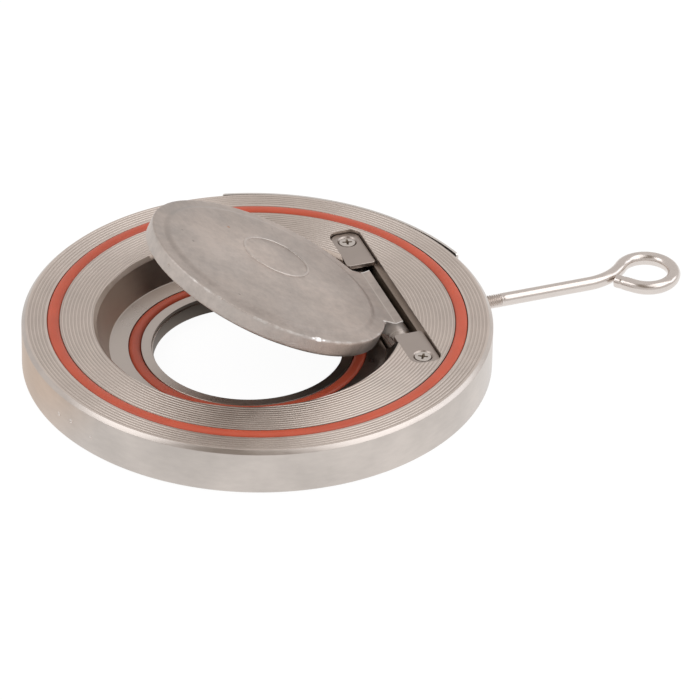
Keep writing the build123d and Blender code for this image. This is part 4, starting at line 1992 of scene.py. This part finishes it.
@dataclass
class DataPlate:
    """The blank data plate: thin sheet bent wider than the rim, held by two domed rivets.

    Its angles are bearings in degrees about the middle of its arc, which lies behind the rim's axis.
    """

    middle: float = 46.0
    sweep: float = 65.0
    inner_radius: float = 85.1 * MM
    sheet: float = 0.8 * MM
    shift: float = 3.0 * MM
    bottom: float = -5.5 * MM
    height: float = 13.2 * MM
    corner: float = 1.0 * MM
    ripple: float = 0.03 * MM
    ripple_waves: float = 19.0
    columns: int = 96
    crowding: float = 0.14
    rivet_half_angle: float = 21.0
    rivet_radius: float = 1.0 * MM
    rivet_play: float = 0.05 * MM
    rivet_head: Span = (1.9 * MM, 1.0 * MM)
    rivet_length: float = 5.0 * MM
    dome_turns: tuple[float, ...] = (0.12, 0.35, 0.6, 0.85, 1.1, 1.35)

    @property
    def centre(self) -> Vector:
        """The middle of the sheet's arc, at mid-height."""
        return polar(-self.shift, self.middle, self.bottom + self.height / 2)

    @property
    def rivet_angles(self) -> tuple[float, float]:
        """The bearings of the two rivets."""
        return (self.middle - self.rivet_half_angle, self.middle + self.rivet_half_angle)

    def build_sheet(self, shop: Workshop) -> Piece:
        """Bend the sheet column by column, with rounded corners and a faint ripple along its edge.

        Args:
            shop: the recipes and finishes.

        Returns:
            The finished sheet, with its rivet holes.
        """
        bm = bmesh.new()
        half_run = math.radians(self.sweep / 2) * self.inner_radius
        columns = []
        for step in range(self.columns + 1):
            share = step / self.columns
            share -= self.crowding * math.sin(math.tau * share)
            into_corner = max(abs(2 * share - 1) * half_run - (half_run - self.corner), 0.0)
            rise = self.height / 2 - self.corner + math.sqrt(max(self.corner**2 - into_corner**2, 0))
            sway = self.ripple * math.sin(share * self.ripple_waves) * math.sin(share * math.pi)
            bearing = self.middle + (share - 0.5) * self.sweep
            inner = self.inner_radius + sway
            outer = inner + self.sheet
            corners = ((inner, -rise), (inner, rise), (outer, rise), (outer, -rise))
            columns.append([bm.verts.new(self.centre + polar(out, bearing, up)) for out, up in corners])
        bridge(bm, columns)
        material = shop.finishes.sheet
        sheet = paint(from_bmesh("blank_data_plate", bm), material)
        radius = self.rivet_radius + self.rivet_play
        behind, beyond, length = 2 * MM, 9 * MM, 6 * MM
        for bearing in self.rivet_angles:
            foot = self.centre + polar(self.inner_radius - behind, bearing)
            tip = self.centre + polar(self.inner_radius + beyond, bearing)
            hole = rod("hole", foot, tip - foot, ((0, radius), (length, radius)), 24)
            combine(sheet, [paint(hole, material)], "DIFFERENCE")
        shade(sheet, 30)
        return sheet

    def build_rivets(self, shop: Workshop) -> Piece:
        """Turn one domed rivet and set it out at both ends of the plate.

        Args:
            shop: the recipes and finishes.

        Returns:
            Both rivets, as one object.
        """
        reach, rise = self.rivet_head
        foot = 0.02 * MM
        outline = [
            (0, -self.sheet - self.rivet_length),
            (self.rivet_radius, -self.sheet - self.rivet_length),
            (self.rivet_radius, foot),
            (reach, foot),
            *[(reach * math.cos(turn), rise * math.sin(turn)) for turn in self.dome_turns],
            (0, rise),
        ]
        rivet = shop.turning.turn("rivet", outline, shop.finishes.screw, 40)
        shade(rivet, 35)
        out = self.inner_radius + self.sheet
        places = [(self.centre + polar(out, turn), polar(1, turn), 0.0) for turn in self.rivet_angles]
        rivets = shop.fastening.set_out("domed_drive_rivets", rivet, places, shop.finishes.screw)
        shade(rivets, 35)
        return rivets


# ---- studio ----
@dataclass(frozen=True)
class Softbox:
    """One softbox that faces the valve: its bearing, how far off it hangs, its size and its brightness."""

    name: str
    azimuth: float
    elevation: float
    size: Span
    glow: float
    distance: float = 1.5
    tint: Colour = (0.97, 0.99, 1.02)

    def hang(self) -> None:
        """Put the softbox in the scene."""
        light = bpy.data.lights.new(self.name, "AREA")
        light.shape = "RECTANGLE"
        light.size, light.size_y = self.size
        light.color = self.tint
        light.energy = self.glow * math.pi * self.size[0] * self.size[1]
        outward = towards(self.azimuth, self.elevation)
        turn = outward.to_track_quat("Z", "Y").to_matrix().to_4x4()
        new_object(self.name, light).matrix_world = Matrix.Translation(outward * self.distance) @ turn


@dataclass(frozen=True)
class CameraRig:
    """The camera: where it looks from, how far off it stands, how it is tilted and aimed."""

    azimuth: float = -20.5
    elevation: float = 33.62
    roll: float = 1.13
    distance: float = 2.10892
    aim: Span = (-0.03225, 0.00436)
    target: Vector = field(default_factory=lambda: Vector((0, 0, 0.5 * MM)))
    focal: float = 311.47
    sensor: float = 36.0
    reach: float = 20.0

    def place(self) -> None:
        """Make the camera and use it."""
        turn = math.radians(self.azimuth)
        back = towards(self.azimuth, self.elevation)
        level = Vector((math.cos(turn), math.sin(turn), 0))
        up = back.cross(level)
        tilt = math.radians(self.roll)
        right = level * math.cos(tilt) + up * math.sin(tilt)
        up = back.cross(right)
        axes = Matrix((right, up, back)).transposed().to_4x4()
        place = self.target + back * self.distance - right * self.aim[0] - up * self.aim[1]
        camera = bpy.data.cameras.new("camera")
        camera.lens = self.focal
        camera.sensor_width = self.sensor
        camera.clip_end = self.reach
        item = new_object("camera", camera)
        item.matrix_world = Matrix.Translation(place) @ axes
        bpy.context.scene.camera = item


@dataclass
class Studio:
    """The pale floor, the room that the metal mirrors, and the softboxes.

    In reflections the floor glows evenly, with painted light a little brighter towards +X, a painted shadow
    under the ring, darkest under its hinge side, and a painted warm reflection near the near edge of the
    bore.
    """

    floor_height: float
    floor_size: float = 3.0
    floor_colour: float = 0.55
    seen_colour: float = 0.09
    seen_glow: float = 0.95
    mirrored_glow: float = 0.97
    glow_run: Span = (-90 * MM, 90 * MM)
    glow_gain: Span = (0.95, 1.09)
    bore_run: Span = (-35 * MM, 5 * MM)
    bore_shade: Span = (0.42, 0.01)
    shade_edge: Span = (60 * MM, 81 * MM)
    wall_colour: Colour = (0.74, 0.715, 0.70)
    dark_colour: Colour = (0.245, 0.2, 0.16)
    dark_bearing: Span = (-20.5, 61.0)
    dark_spread: Span = (0.80, 0.97)
    warm_reflection_place: Colour = (-110 * MM, 20 * MM, 0.0)
    warm_reflection_edge: Span = (25 * MM, 60 * MM)
    warm_reflection_colour: Colour = (0.93, 0.80, 0.70)
    softboxes: tuple[Softbox, ...] = (
        Softbox("right_softbox", 51.0, 54.0, size=(1.3, 1.3), glow=1.25),
        Softbox("left_softbox", -93.0, 47.0, size=(0.8, 0.9), glow=1.4),
        Softbox("side_softbox", 86.0, 24.0, size=(0.75, 0.45), glow=1.15, tint=(0.93, 0.98, 1.05)),
    )

    def build(self) -> None:
        """Lay the floor, paint the room and hang the softboxes."""
        bm = bmesh.new()
        place = Matrix.Translation((0, 0, self.floor_height))
        bmesh.ops.create_grid(bm, x_segments=1, y_segments=1, size=self.floor_size, matrix=place)
        floor = paint(from_bmesh("studio_floor", bm), self.floor_material())
        floor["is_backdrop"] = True
        self.room()
        for softbox in self.softboxes:
            softbox.hang()

    def floor_material(self) -> Finish:
        """White to the camera and in reflections, with the shadows kept; plain pale paper to other light.

        Returns:
            The material.
        """
        shader = Shader("studio_paper", Roughness=0.9, Specular_IOR_Level=0.1)
        path = shader.node("ShaderNodeLightPath").outputs
        seen = path["Is Camera Ray"]
        paper = shader.blend(seen, rgb((self.floor_colour,) * 3), rgb((self.seen_colour,) * 3))
        shader.done(Base_Color=paper)
        feeds = {"Color": WHITE, "Strength": shader.math("MULTIPLY", seen, self.seen_glow)}
        glow = shader.node("ShaderNodeEmission", feeds).outputs[0]
        both = shader.node("ShaderNodeAddShader", {0: shader.surface.outputs[0], 1: glow}).outputs[0]
        feeds = {"Color": self.mirrored_tint(shader), "Strength": self.mirrored_level(shader)}
        mirror = shader.node("ShaderNodeEmission", feeds).outputs[0]
        feeds = {0: path["Is Glossy Ray"], 1: both, 2: mirror}
        mixed = shader.node("ShaderNodeMixShader", feeds).outputs[0]
        shader.feed(shader.tree.nodes["Material Output"].inputs["Surface"], mixed)
        return shader.material

    def mirrored_level(self, shader: Shader) -> Socket:
        """How bright the floor is in reflections.

        Args:
            shader: the floor's material.

        Returns:
            The strength of its glow.
        """
        reach = shader.measured("LENGTH", shader.place((1, 1, 0)))
        across = shader.parts(shader.place())["X"]
        # painted shadow: the reflected floor is dark under the ring, darkest under its hinge side
        shadow = shader.spread(across, self.bore_run, self.bore_shade)
        level = shader.spread(reach, self.shade_edge, (shadow, self.mirrored_glow))
        # painted light: the reflected floor is brighter towards +X
        return shader.math("MULTIPLY", level, shader.spread(across, self.glow_run, self.glow_gain))

    def mirrored_tint(self, shader: Shader) -> Socket:
        """The floor's colour in reflections: white, with a painted warm reflection round the warm place."""
        away = shader.measured("DISTANCE", shader.place((1, 1, 0)), self.warm_reflection_place)
        return shader.blend(shader.spread(away, self.warm_reflection_edge, (0.0, 1.0)), rgb(self.warm_reflection_colour), WHITE)

    def room(self) -> None:
        """Pale walls with a dim warm place above and behind the camera; plain white to the camera."""
        world = bpy.data.worlds.new("studio_room")
        world.use_nodes = True
        bpy.context.scene.world = world
        wiring = Wiring(world.node_tree)
        out = wiring.node("ShaderNodeTexCoord").outputs["Generated"]
        near = wiring.measured("DOT_PRODUCT", out, towards(*self.dark_bearing))
        feeds = {"Value": near, "From Min": self.dark_spread[0], "From Max": self.dark_spread[1]}
        dim = wiring.node("ShaderNodeMapRange", feeds, interpolation_type="SMOOTHSTEP").outputs[0]
        walls = wiring.blend(dim, rgb(self.wall_colour), rgb(self.dark_colour))
        seen = wiring.node("ShaderNodeLightPath").outputs["Is Camera Ray"]
        wiring.feed(world.node_tree.nodes["Background"].inputs["Color"], wiring.blend(seen, walls, WHITE))


def clear_startup() -> None:
    """Remove the cube, lamp and camera that a new file holds."""
    for name in ("Cube", "Light", "Camera"):
        if name in bpy.data.objects:
            bpy.data.objects.remove(bpy.data.objects[name])


def main() -> None:
    """Build the valve piece by piece round the frame, then the studio."""
    logging.basicConfig(level=logging.INFO, format="%(name)s: %(message)s")
    clear_startup()
    cad_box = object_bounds()
    CameraRig().place()
    Studio(floor_height=cad_box[0].z).build()

    ring = BodyRing()
    shop = Workshop(Finishes.make(ring.flow_x))
    hand_over(ring.build(shop), "valve_body", "body")
    flange, face = ring.flange_groove_radius, ring.half_height
    seat = {"axis_x": ring.flow_x, "proud": 0.68 * MM, "waist": 1.0 * MM}
    seals = (
        SealRing("outlet_face_seal", "outlet_flange_o_ring", "silicone", flange, face),
        SealRing("inlet_face_seal", "inlet_flange_o_ring", "silicone", flange, face, side=-1),
        SealRing("seat_seal", "seat_o_ring", "seat_silicone", ring.seat_groove_radius, ring.land, **seat),
    )
    for o_ring in seals:
        hand_over(o_ring.build(shop), "valve_body", o_ring.node)

    joint = frame["joints"][0]
    flap = FlapDisc(Vector(joint["pos_m"]), math.radians(-joint["range_deg"][0]))
    hand_over(flap.build(shop), "disc", "disc")

    keepers = (
        KeeperPlate("far_keeper", "far_keeper_plate", 1),
        KeeperPlate("near_keeper", "near_keeper_plate", -1),
    )
    for keeper in keepers:
        hand_over(keeper.build(shop), "valve_body", keeper.node)
    hand_over(KeeperScrews().build(shop), "valve_body", "keeper_screws")
    hand_over(EyeBolt().build(shop), "valve_body", "eye_bolt")

    plate = DataPlate()
    hand_over(plate.build_sheet(shop), "valve_body", "data_plate")
    hand_over(plate.build_rivets(shop), "valve_body", "plate_rivets")

    bpy.context.scene.view_settings.view_transform = "Standard"


if __name__ == "__main__":
    main()
